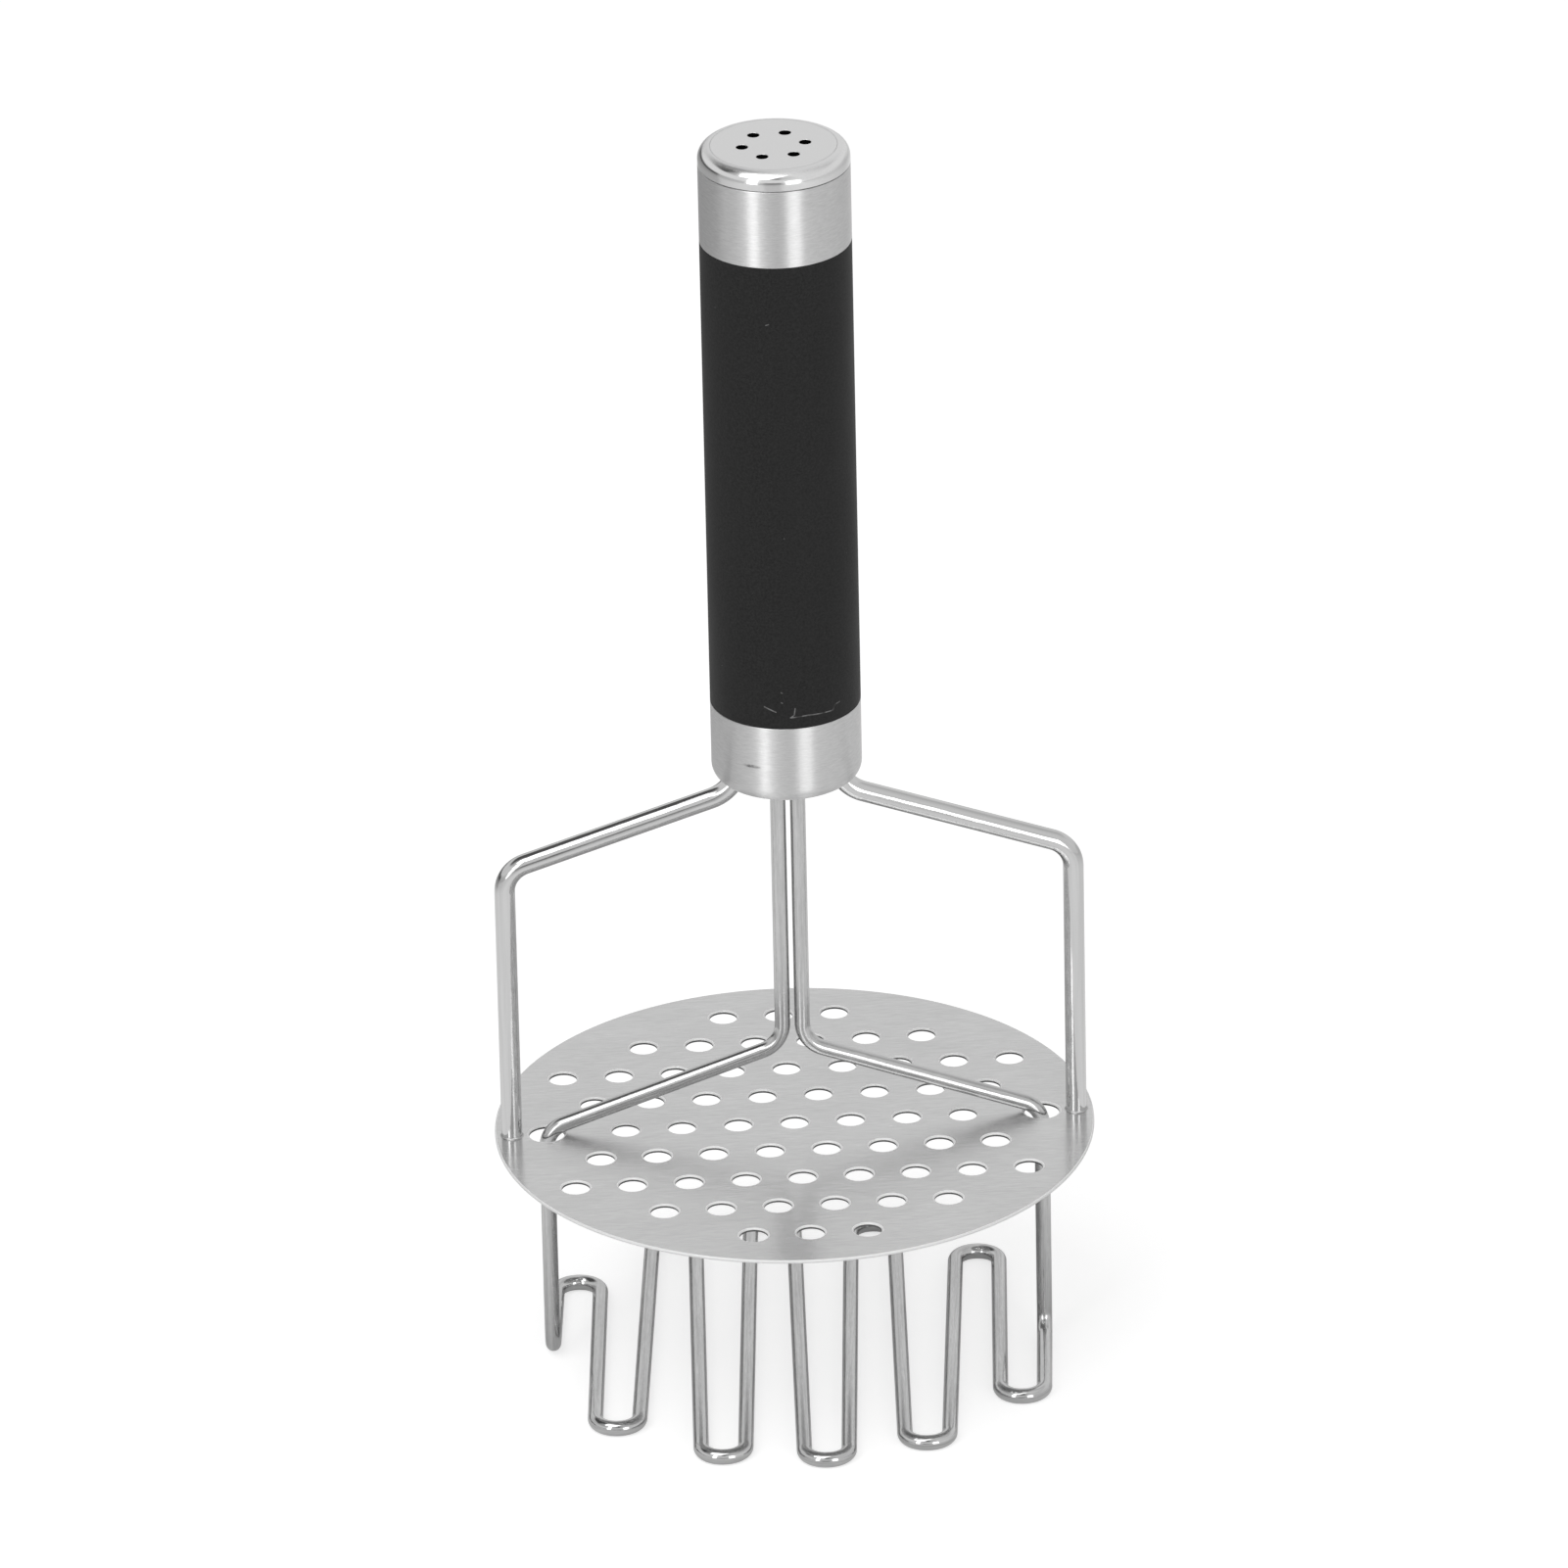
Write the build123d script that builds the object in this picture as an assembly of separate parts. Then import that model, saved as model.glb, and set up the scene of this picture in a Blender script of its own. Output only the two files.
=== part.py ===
from build123d import *
import math
import os

os.makedirs("parts", exist_ok=True)

# Potato masher with a sprung double action, standing upright on its wire grid.
# Millimetres. The origin is the centre of the footprint, at table height.
# +Z runs up the handle, and +X runs along the line of the two grid legs.
# The handle, the frame wires and the plate are one body. The grid wire, with the plunger on
# its upper ends, slides up into the handle when the handle is pressed, against the spring.

# Allowances shared by all pieces
overrun = 1.0
press_clearance = 0.05
running_clearance = 0.08
moving_gap = 0.3

# Perforated plate
plate_d = 116.0
plate_t = 0.7
plate_rim_round = 0.3
plate_top_z = 49.0
hole_d = 5.4
hole_edge_round = 0.35
hole_pitch_x = 10.9
hole_pitch_y = 11.6
hole_edge_distance = 8.0
leg_hole_d = 6.8
leg_hole_land = 1.5

# Grid wire: one length, bent from pair to arms, legs and serpentine grid
grid_wire_d = 3.0
pair_half_spacing = 1.9
leg_edge_distance = 10.0
arm_angle_deg = 19.6
pair_bend_r = 6.0
arm_bend_r = 5.0
foot_bend_r = 4.0
grid_edge_distance = 8.0
grid_side_gap = 2.35
grid_bend_offset = 2.0
grid_bend_half_width = 4.25
grid_bends_per_side = 5
bend_round_share = 0.98

# Frame wires: one each side, from the handle down to the plate
frame_wire_d = 4.0
post_edge_distance = 3.3
elbow_bend_r = 6.0
frame_arm_angle_deg = 18.6
frame_neck_height = 2.9
root_bend_r = 8.0
root_cover = 2.0
weld_width = 0.3
weld_height = 0.4

# Handle, outside
handle_d = 28.8
handle_bottom_z = 124.0
lower_ferrule_height = 16.0
grip_length = 95.5
upper_ferrule_height = 15.5
ferrule_wall = 0.8
ferrule_bottom_round = 3.0
ferrule_edge_round = 0.15
seam_gap = 0.15
cap_height = 3.5
cap_round = 2.4
cap_wall = 0.8
cap_skirt_depth = 6.0
vent_d = 2.3
vent_ring_r = 6.0
vent_count = 6
vent_turn_deg = 5.5

# Handle, inside
grip_wall = 2.15
core_wall = 1.2
core_shoulder_height = 4.2
spigot_length = 7.2
bush_wall = 1.4
bush_flange_width = 1.6
bush_flange_t = 1.5
buffer_t = 2.0
plug_flange_t = 3.0
plug_spigot_length = 7.0
vent_passage_widening = 0.3
pin_d = 1.5
root_pin_depth = 2.2

# Plunger and spring
plunger_height = 10.0
wire_seat_depth = 8.0
plunger_boss_height = 3.0
plunger_pin_d = 1.2
plunger_pin_height = 4.5
washer_t = 1.0
spring_wire_d = 1.4
spring_side_gap = 1.5
spring_turns = 11

# Radii worked out from the sizes above
plate_r = plate_d / 2
handle_r = handle_d / 2
ferrule_bore_r = handle_r - ferrule_wall
press_r = ferrule_bore_r - press_clearance
core_waist_r = handle_r - grip_wall - press_clearance
core_bore_r = core_waist_r - core_wall
spigot_r = core_bore_r - press_clearance
plunger_r = core_bore_r - moving_gap
bush_r = pair_half_spacing + grid_wire_d / 2 + bush_wall
bush_flange_r = bush_r + bush_flange_width
pin_r = pin_d / 2
spring_mean_r = core_bore_r - spring_side_gap - spring_wire_d / 2
boss_r = spring_mean_r - spring_wire_d / 2 - moving_gap

# Places across, the wire roots midway between the bush and the ferrule
leg_x = plate_r - leg_edge_distance
post_x = plate_r - post_edge_distance
root_x = (bush_r + ferrule_bore_r) / 2
grid_circle_r = plate_r - grid_edge_distance
pin_half_length = math.sqrt(ferrule_bore_r**2 - (root_x + pin_r) ** 2) - press_clearance

# Heights, from the bottom of the handle up
grip_bottom_z = handle_bottom_z + lower_ferrule_height
grip_top_z = grip_bottom_z + grip_length
ferrule_top_z = grip_top_z + upper_ferrule_height
cap_seam_z = ferrule_top_z + seam_gap
cap_top_z = cap_seam_z + cap_height
core_bottom_z = grip_bottom_z - core_shoulder_height
core_top_z = ferrule_top_z - cap_skirt_depth
block_bottom_z = handle_bottom_z + ferrule_wall
spigot_top_z = core_bottom_z + spigot_length
buffer_top_z = spigot_top_z + buffer_t
plunger_bottom_z = buffer_top_z + moving_gap
plunger_top_z = plunger_bottom_z + plunger_height
plug_bottom_z = core_top_z - plug_spigot_length
pair_top_z = plunger_bottom_z + wire_seat_depth
root_top_z = core_bottom_z - root_cover
root_pin_z = root_top_z - root_pin_depth
core_pin_z = (core_bottom_z + grip_bottom_z) / 2
plug_pin_z = (plug_bottom_z + core_top_z) / 2
plunger_pin_z = plunger_bottom_z + plunger_pin_height


def rod(radius, bottom, top, x=0, y=0):
    """An upright round rod between two heights."""
    base = Plane(origin=(x, y, bottom))
    return extrude(base * Circle(radius), amount=top - bottom)


def ring(outer_radius, inner_radius, bottom, top):
    """An upright ring between two heights."""
    hole = rod(inner_radius, bottom - overrun, top + overrun)
    return rod(outer_radius, bottom, top) - hole


def cross_rod(radius, half_length, x, z):
    """A round rod that lies along Y."""
    end = Plane(origin=(x, -half_length, z), z_dir=(0, 1, 0))
    return extrude(end * Circle(radius), amount=2 * half_length)


def round_wire(corners, radii, diameter):
    """A round wire of straight runs joined by tangent bends."""
    path = FilletPolyline(*corners, radius=radii)
    run = Vector(*corners[1]) - Vector(*corners[0])
    section = Plane(origin=corners[0], z_dir=run) * Circle(diameter / 2)
    return sweep(section, path=path)


def edges_at(solid, z, radius):
    """The round edges of one radius that lie flat at one height."""
    flat = solid.edges().filter_by(GeomType.CIRCLE).filter_by_position(Axis.Z, z, z)
    return [edge for edge in flat if math.isclose(edge.radius, radius)]


# Grid wire


def arm_shoulder_z():
    """Height of the corner from arm to leg, so that the bend just clears its hole's edge."""
    across = arm_bend_r - leg_hole_d / 2
    inside = arm_bend_r - grid_wire_d / 2 - moving_gap
    bend_centre_z = plate_top_z - math.sqrt(inside**2 - across**2)
    half_turn = math.radians(90 - arm_angle_deg) / 2
    return bend_centre_z + arm_bend_r * math.tan(half_turn)


def grid_bend_corners(x, side):
    """The two corners of one grid bend, left one first. Side is 1 at the rear, -1 in front."""
    y = side * math.sqrt(grid_circle_r**2 - x**2)
    z = grid_wire_d / 2
    return [(x - grid_bend_half_width, y, z), (x + grid_bend_half_width, y, z)]


def grid_corners():
    """All corners of the serpentine, from the left leg's foot to the right leg's foot."""
    middle = (grid_bends_per_side - 1) / 2
    pitch = (leg_x - grid_side_gap - grid_bend_half_width - grid_bend_offset) / middle
    corners = []
    for number in range(grid_bends_per_side):
        along = (number - middle) * pitch
        corners += grid_bend_corners(along - grid_bend_offset, 1)
        corners += grid_bend_corners(along + grid_bend_offset, -1)
    return corners


def make_masher_wire():
    shoulder_z = arm_shoulder_z()
    hub_z = shoulder_z + (leg_x - pair_half_spacing) * math.tan(math.radians(arm_angle_deg))
    foot_z = grid_wire_d / 2
    left = [(-pair_half_spacing, 0, pair_top_z), (-pair_half_spacing, 0, hub_z)]
    left += [(-leg_x, 0, shoulder_z), (-leg_x, 0, foot_z)]
    right = [(-x, y, z) for x, y, z in reversed(left)]
    bends = [pair_bend_r, arm_bend_r, foot_bend_r]
    serpentine = grid_corners()
    radii = bends + [grid_bend_half_width * bend_round_share] * len(serpentine) + bends[::-1]
    wire = round_wire(left + serpentine + right, radii, grid_wire_d)
    for x in (-pair_half_spacing, pair_half_spacing):
        wire -= cross_rod(plunger_pin_d / 2, grid_wire_d, x, plunger_pin_z)
    return wire


# Frame wires


def frame_wire_solid(side, clearance):
    """A frame wire on one side, made thicker all round by the clearance."""
    neck_z = handle_bottom_z - frame_neck_height
    elbow_z = neck_z - (post_x - root_x) * math.tan(math.radians(frame_arm_angle_deg))
    top_z = root_top_z + clearance
    corners = [(root_x, top_z), (root_x, neck_z), (post_x, elbow_z), (post_x, plate_top_z)]
    placed = [(side * x, 0, z) for x, z in corners]
    return round_wire(placed, [root_bend_r, elbow_bend_r], frame_wire_d + 2 * clearance)


def make_frame_wire(side):
    wire = frame_wire_solid(side, 0)
    foot = Plane(origin=(side * post_x, 0, plate_top_z)) * Circle(frame_wire_d / 2 + weld_width)
    neck = Plane(origin=(side * post_x, 0, plate_top_z + weld_height)) * Circle(frame_wire_d / 2)
    wire += loft([foot.face(), neck.face()], ruled=True)
    return wire - cross_rod(pin_r, frame_wire_d, side * root_x, root_pin_z)


# Perforated plate


def hole_places():
    """Centres of the punched holes: staggered rows, clear of the plate's edge and the leg holes."""
    reach = plate_r - hole_edge_distance
    leg_clearance = (hole_d + leg_hole_d) / 2 + leg_hole_land
    last_row = math.floor(reach / hole_pitch_y)
    last_column = math.floor(2 * reach / hole_pitch_x)
    places = []
    for row in range(-last_row, last_row + 1):
        for half_column in range(-last_column, last_column + 1):
            x = half_column * hole_pitch_x / 2
            y = row * hole_pitch_y
            staggered = (row + half_column) % 2 == 0
            on_plate = math.hypot(x, y) <= reach
            if staggered and on_plate and math.hypot(abs(x) - leg_x, y) >= leg_clearance:
                places.append((x, y))
    return places


def make_perforated_plate():
    underside_z = plate_top_z - plate_t
    plate = rod(plate_r, underside_z, plate_top_z)
    rims = edges_at(plate, plate_top_z, plate_r) + edges_at(plate, underside_z, plate_r)
    plate = fillet(rims, plate_rim_round)
    punches = []
    for x, y in hole_places():
        punches.append(rod(hole_d / 2, underside_z - overrun, plate_top_z + overrun, x, y))
    for x in (-leg_x, leg_x):
        punches.append(rod(leg_hole_d / 2, underside_z - overrun, plate_top_z + overrun, x))
    plate -= punches
    mouths = edges_at(plate, plate_top_z, hole_d / 2) + edges_at(plate, plate_top_z, leg_hole_d / 2)
    return fillet(mouths, hole_edge_round)


# Handle, from the bottom up


def make_lower_ferrule():
    cup = rod(handle_r, handle_bottom_z, grip_bottom_z)
    cup = fillet(edges_at(cup, handle_bottom_z, handle_r), ferrule_bottom_round)
    cup = fillet(edges_at(cup, grip_bottom_z, handle_r), ferrule_edge_round)
    hollow = rod(ferrule_bore_r, block_bottom_z, grip_bottom_z + overrun)
    inner_round = ferrule_bottom_round - ferrule_wall
    cup -= fillet(edges_at(hollow, block_bottom_z, ferrule_bore_r), inner_round)
    cup -= rod(bush_r + press_clearance, handle_bottom_z - overrun, block_bottom_z + overrun)
    for side in (-1, 1):
        cup -= frame_wire_solid(side, press_clearance)
    return cup


def make_wire_block():
    block = rod(press_r, block_bottom_z, core_bottom_z)
    block = fillet(edges_at(block, block_bottom_z, press_r), ferrule_bottom_round - ferrule_wall)
    block += rod(spigot_r, core_bottom_z, spigot_top_z)
    block -= rod(bush_r + press_clearance, block_bottom_z - overrun, spigot_top_z + overrun)
    recess_z = spigot_top_z - bush_flange_t
    block -= rod(bush_flange_r + press_clearance, recess_z, spigot_top_z + overrun)
    for side in (-1, 1):
        block -= frame_wire_solid(side, press_clearance)
        for z in (root_pin_z, core_pin_z):
            block -= cross_rod(pin_r, handle_r, side * root_x, z)
    return block


def make_guide_bush():
    bush = rod(bush_r, handle_bottom_z, spigot_top_z)
    bush += rod(bush_flange_r, spigot_top_z - bush_flange_t, spigot_top_z)
    bore_r = grid_wire_d / 2 + running_clearance
    for x in (-pair_half_spacing, pair_half_spacing):
        bush -= rod(bore_r, handle_bottom_z - overrun, spigot_top_z + overrun, x)
    return bush


def make_stop_buffer():
    return ring(plunger_r, bush_r, spigot_top_z, buffer_top_z)


def make_core_tube():
    core = ring(core_waist_r, core_bore_r, core_bottom_z, core_top_z)
    core += ring(press_r, core_bore_r, core_bottom_z, grip_bottom_z)
    core += ring(press_r, core_bore_r, grip_top_z, core_top_z)
    for x in (-root_x, root_x):
        for z in (core_pin_z, plug_pin_z):
            core -= cross_rod(pin_r, handle_r, x, z)
    return core


def make_grip_sleeve():
    return ring(handle_r, core_waist_r + press_clearance, grip_bottom_z, grip_top_z)


def make_upper_ferrule():
    tube = ring(handle_r, ferrule_bore_r, grip_top_z, ferrule_top_z)
    rims = edges_at(tube, grip_top_z, handle_r) + edges_at(tube, ferrule_top_z, handle_r)
    return fillet(rims, ferrule_edge_round)


def vents(radius, bottom, top):
    """The ring of upright air passages through the top of the handle."""
    turns = [math.radians(vent_turn_deg + number * 360 / vent_count) for number in range(vent_count)]
    places = [(vent_ring_r * math.cos(turn), vent_ring_r * math.sin(turn)) for turn in turns]
    return [rod(radius, bottom, top, x, y) for x, y in places]


def make_cap_plug():
    plug = rod(spigot_r, plug_bottom_z, core_top_z)
    flange_r = press_r - cap_wall - press_clearance
    plug += rod(flange_r, core_top_z, core_top_z + plug_flange_t)
    passage_r = vent_d / 2 + vent_passage_widening
    plug -= vents(passage_r, plug_bottom_z - overrun, core_top_z + plug_flange_t + overrun)
    for x in (-root_x, root_x):
        plug -= cross_rod(pin_r, handle_r, x, plug_pin_z)
    return plug


def make_top_cap():
    crown = rod(handle_r, cap_seam_z, cap_top_z)
    crown = fillet(edges_at(crown, cap_top_z, handle_r), cap_round)
    crown = fillet(edges_at(crown, cap_seam_z, handle_r), ferrule_edge_round)
    cap = crown + rod(press_r, core_top_z, cap_seam_z)
    hollow_r = press_r - cap_wall
    hollow_top_z = cap_top_z - cap_wall
    hollow = rod(hollow_r, core_top_z - overrun, hollow_top_z)
    cap -= fillet(edges_at(hollow, hollow_top_z, hollow_r), cap_round - cap_wall)
    return cap - vents(vent_d / 2, core_top_z, cap_top_z + overrun)


def make_cross_pins():
    """Six like pins: through the wire roots, the spigot and the plug."""
    places = [(x, z) for z in (root_pin_z, core_pin_z, plug_pin_z) for x in (-root_x, root_x)]
    return Compound(children=[cross_rod(pin_r, pin_half_length, x, z) for x, z in places])


# Plunger and spring


def make_plunger():
    body = rod(plunger_r, plunger_bottom_z, plunger_top_z)
    body += rod(boss_r, plunger_top_z, plunger_top_z + plunger_boss_height)
    for x in (-pair_half_spacing, pair_half_spacing):
        seat_top_z = pair_top_z + press_clearance
        body -= rod(grid_wire_d / 2 + press_clearance, plunger_bottom_z - overrun, seat_top_z, x)
        body -= cross_rod(plunger_pin_d / 2, handle_r, x, plunger_pin_z)
    return body


def make_plunger_pins():
    pin_edge_x = pair_half_spacing + plunger_pin_d / 2
    half_length = math.sqrt(plunger_r**2 - pin_edge_x**2) - press_clearance
    pins = []
    for x in (-pair_half_spacing, pair_half_spacing):
        pins.append(cross_rod(plunger_pin_d / 2, half_length, x, plunger_pin_z))
    return Compound(children=pins)


def make_washer(bottom):
    return ring(plunger_r, boss_r + press_clearance, bottom, bottom + washer_t)


def spring_path(bottom, top):
    """A rising helix as pairs of tangent arcs, one pair for each quarter turn."""
    radius = spring_mean_r
    quarters = 4 * spring_turns
    rise = (top - bottom) / quarters
    places = []
    headings = []
    for quarter in range(quarters + 1):
        turn = quarter * math.pi / 2
        places.append(Vector(radius * math.cos(turn), radius * math.sin(turn), bottom + rise * quarter))
        climb = rise / (math.pi / 2)
        headings.append(Vector(-radius * math.sin(turn), radius * math.cos(turn), climb).normalized())
    arcs = []
    for quarter in range(quarters):
        begin, end = places[quarter], places[quarter + 1]
        leave, arrive = headings[quarter], headings[quarter + 1]
        chord = end - begin
        along = chord.dot(leave + arrive)
        spread = 2 * (1 - leave.dot(arrive))
        reach = (math.sqrt(along**2 + spread * chord.dot(chord)) - along) / spread
        first_corner = begin + leave * reach
        second_corner = end - arrive * reach
        middle = (first_corner + second_corner) / 2
        arcs.append(TangentArc(begin, middle, tangent=leave))
        arcs.append(TangentArc(middle, end, tangent=second_corner - first_corner))
    return Wire([arc.edge() for arc in arcs]), places[0], headings[0]


def make_return_spring():
    bottom = plunger_top_z + washer_t + spring_wire_d / 2 + press_clearance
    top = plug_bottom_z - washer_t - spring_wire_d / 2 - press_clearance
    path, start, heading = spring_path(bottom, top)
    return sweep(Plane(origin=start, z_dir=heading) * Circle(spring_wire_d / 2), path=path)


pieces = {
    "top_cap": make_top_cap(),
    "cap_plug": make_cap_plug(),
    "upper_ferrule": make_upper_ferrule(),
    "grip_sleeve": make_grip_sleeve(),
    "core_tube": make_core_tube(),
    "lower_ferrule": make_lower_ferrule(),
    "wire_block": make_wire_block(),
    "guide_bush": make_guide_bush(),
    "stop_buffer": make_stop_buffer(),
    "cross_pins": make_cross_pins(),
    "frame_wire_left": make_frame_wire(-1),
    "frame_wire_right": make_frame_wire(1),
    "perforated_plate": make_perforated_plate(),
    "masher_wire": make_masher_wire(),
    "plunger": make_plunger(),
    "plunger_pins": make_plunger_pins(),
    "lower_spring_washer": make_washer(plunger_top_z),
    "upper_spring_washer": make_washer(plug_bottom_z - washer_t),
    "return_spring": make_return_spring(),
}

for name, piece in pieces.items():
    export_step(piece, f"parts/{name}.step")
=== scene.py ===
"""Looks of a hand potato masher: its shown pieces, their finishes, the lamps, the floor and the camera."""

import math

import bmesh
import bpy
from bpy.props import FloatProperty, FloatVectorProperty, IntProperty, PointerProperty
from mathutils import Matrix, Vector, noise


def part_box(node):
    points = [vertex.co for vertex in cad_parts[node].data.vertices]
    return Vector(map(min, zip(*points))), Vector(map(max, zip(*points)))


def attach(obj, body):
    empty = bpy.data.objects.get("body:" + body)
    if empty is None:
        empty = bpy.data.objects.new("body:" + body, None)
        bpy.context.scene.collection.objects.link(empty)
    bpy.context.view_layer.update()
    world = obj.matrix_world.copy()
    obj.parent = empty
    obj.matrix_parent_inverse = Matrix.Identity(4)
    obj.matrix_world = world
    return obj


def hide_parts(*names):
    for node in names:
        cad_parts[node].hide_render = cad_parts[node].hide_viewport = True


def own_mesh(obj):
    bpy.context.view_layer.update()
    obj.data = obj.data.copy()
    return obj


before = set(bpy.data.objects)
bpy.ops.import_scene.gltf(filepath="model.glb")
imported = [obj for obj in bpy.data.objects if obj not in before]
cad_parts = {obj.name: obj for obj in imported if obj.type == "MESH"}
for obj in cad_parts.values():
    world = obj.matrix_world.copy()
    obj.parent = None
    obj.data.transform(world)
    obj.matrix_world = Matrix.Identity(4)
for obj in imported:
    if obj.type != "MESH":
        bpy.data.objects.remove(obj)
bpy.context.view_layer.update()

bl_info = {
    "name": "Potato masher looks",
    "version": (1, 0, 0),
    "blender": (4, 5, 0),
    "location": "3D View > Sidebar > Masher",
    "description": "Models and finishes the shown pieces of a potato masher, and lights it",
    "category": "Object",
}

MM = 0.001
HANDLE_BODY = "handle_and_plate"
GRID_BODY = "grid_and_plunger"
SIDES = {"left": -1, "right": 1}


def low(node):
    """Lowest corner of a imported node."""
    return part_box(node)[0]


def high(node):
    """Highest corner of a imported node."""
    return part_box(node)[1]


def colour(hex_code):
    """An sRGB hex colour as linear red, green, blue and alpha."""
    channels = [int(hex_code[place : place + 2], 16) / 255 for place in (1, 3, 5)]
    linear = [c / 12.92 if c <= 0.04045 else ((c + 0.055) / 1.055) ** 2.4 for c in channels]
    return (*linear, 1.0)


# Settings


def length(label, text, default):
    """A length in metres that a user may change."""
    return FloatProperty(
        name=label, description=text, default=default, min=0.0, precision=5, unit="LENGTH"
    )


def tint(label, text, hex_code):
    """A colour that a user may change."""
    return FloatVectorProperty(
        name=label, description=text, default=colour(hex_code), min=0.0, max=1.0, size=4, subtype="COLOR"
    )


def angle(label, text, degrees):
    """An angle that a user may change."""
    return FloatProperty(name=label, description=text, default=math.radians(degrees), subtype="ANGLE")


def amount(label, text, default):
    """A brightness or other plain number that a user may change."""
    return FloatProperty(name=label, description=text, default=default, min=0.0)


def whole(label, text, default, least):
    """A whole number that a user may change."""
    return IntProperty(name=label, description=text, default=default, min=least)


class HandleSizes(bpy.types.PropertyGroup):
    wall: length("Steel wall", "Thickness of the cap and of both ferrules", 0.8 * MM)
    edge_round: length("Edge round", "Rounding of the ferrules' and the cap's cut edges", 0.15 * MM)
    grip_edge_round: length("Grip edge round", "Rounding of the grip's two ends", 0.12 * MM)
    cap_round: length("Cap round", "Rounding of the cap's upper edge", 2.4 * MM)
    satin_reach: length("Satin reach", "How far the crown's satin goes over the cap's rounding", 1.1 * MM)
    satin_fade: length("Satin fade", "Width of the change from satin to polish", 0.6 * MM)
    bottom_round: length("Bottom round", "Rounding of the lower ferrule's lower edge", 3.0 * MM)
    wire_hole_gap: length("Wire hole gap", "Gap between a frame wire and its hole in the ferrule", 0.1 * MM)
    vent_radius: length("Vent radius", "Radius of each vent in the cap", 1.15 * MM)
    vent_mouth: length("Vent mouth", "Rounding of each vent's edge", 0.1 * MM)
    vent_ring: length("Vent ring", "Radius of the ring of vents", 6.0 * MM)
    seam_gap: length("Seam gap", "Gap between the cap and the upper ferrule", 0.15 * MM)
    press_gap: length("Press gap", "Gap left between pieces that are pressed together", 0.05 * MM)
    grip_wall: length("Grip wall", "Thickness of the grip", 2.15 * MM)
    bush_flange: length("Bush flange", "How far the bush's flange reaches past its barrel", 1.6 * MM)
    vent_turn: angle("Vent turn", "Turn of the first vent from the X axis", 5.5)
    vents: whole("Vents", "Number of vents in the cap", 6, 1)
    vent_segments: whole("Vent segments", "Segments round a vent", 32, 8)
    segments: whole("Segments", "Segments round the barrel", 180, 12)


class PlateSizes(bpy.types.PropertyGroup):
    hole_radius: length("Hole radius", "Radius of each punched hole", 2.7 * MM)
    hole_mouth: length("Hole mouth", "Rounding that the punch leaves at each hole", 0.35 * MM)
    rim_round: length("Rim round", "Rounding of the plate's outer edge", 0.3 * MM)
    pitch_x: length("Pitch along a row", "Distance between the holes of a row", 10.9 * MM)
    pitch_y: length("Pitch of the rows", "Distance between two rows", 11.6 * MM)
    hole_margin: length("Margin", "Least distance from a hole's centre to the plate's edge", 8.0 * MM)
    leg_margin: length("Leg hole margin", "From a leg hole's centre to the plate's edge", 10.0 * MM)
    leg_hole_radius: length("Leg hole radius", "Radius of the two larger holes", 3.4 * MM)
    leg_hole_land: length("Leg hole land", "Least steel between a leg hole and a punched hole", 1.5 * MM)
    hole_segments: whole("Hole segments", "Segments round a hole", 40, 8)
    rim_segments: whole("Rim segments", "Segments round the rim", 256, 24)


class WireSizes(bpy.types.PropertyGroup):
    frame_radius: length("Frame wire radius", "Radius of the two frame wires", 2.0 * MM)
    frame_root_bend: length("Root bend", "Bend radius of a frame wire under the handle", 8.0 * MM)
    frame_elbow_bend: length("Elbow bend", "Bend radius of a frame wire above its post", 6.0 * MM)
    frame_neck: length("Neck", "Height from the wires' corner up to the handle", 2.9 * MM)
    frame_arm_angle: angle("Frame arm angle", "Slope of a frame wire's arm", 18.6)
    post_margin: length("Post margin", "Distance from a post's axis to the plate's edge", 3.3 * MM)
    root_spacing: length("Root spacing", "Distance from the handle's axis to a frame wire's root", 9.2 * MM)
    weld_width: length("Weld width", "How far the weld spreads on the plate", 0.3 * MM)
    weld_height: length("Weld height", "How far the weld climbs up the post", 0.4 * MM)
    grid_radius: length("Grid wire radius", "Radius of the grid wire", 1.5 * MM)
    pair_spacing: length("Pair spacing", "Distance from the handle's axis to each of the pair", 1.9 * MM)
    pair_bend: length("Pair bend", "Bend radius from the pair to an arm", 6.0 * MM)
    shoulder_bend: length("Shoulder bend", "Bend radius from an arm to a leg", 5.0 * MM)
    shoulder_gap: length("Shoulder gap", "Gap between a shoulder and its hole's edge", 0.3 * MM)
    foot_bend: length("Foot bend", "Bend radius from a leg to the grid", 4.0 * MM)
    grid_arm_angle: angle("Grid arm angle", "Slope of a grid wire's arm", 19.6)
    grid_margin: length("Grid margin", "From the circle of the bends to the plate's edge", 8.0 * MM)
    grid_side_gap: length("Grid side gap", "How far the last bend stands inside the leg", 2.35 * MM)
    bend_offset: length("Bend offset", "How far rear and front bends are shifted", 2.0 * MM)
    bend_half_width: length("Bend half width", "Half the width of a grid bend", 4.25 * MM)
    bends: whole("Bends", "Grid bends on each side", 5, 2)
    bend_steps: whole("Bend steps", "Segments along each bend", 18, 3)
    section_segments: whole("Section segments", "Segments round a wire", 36, 8)


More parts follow.
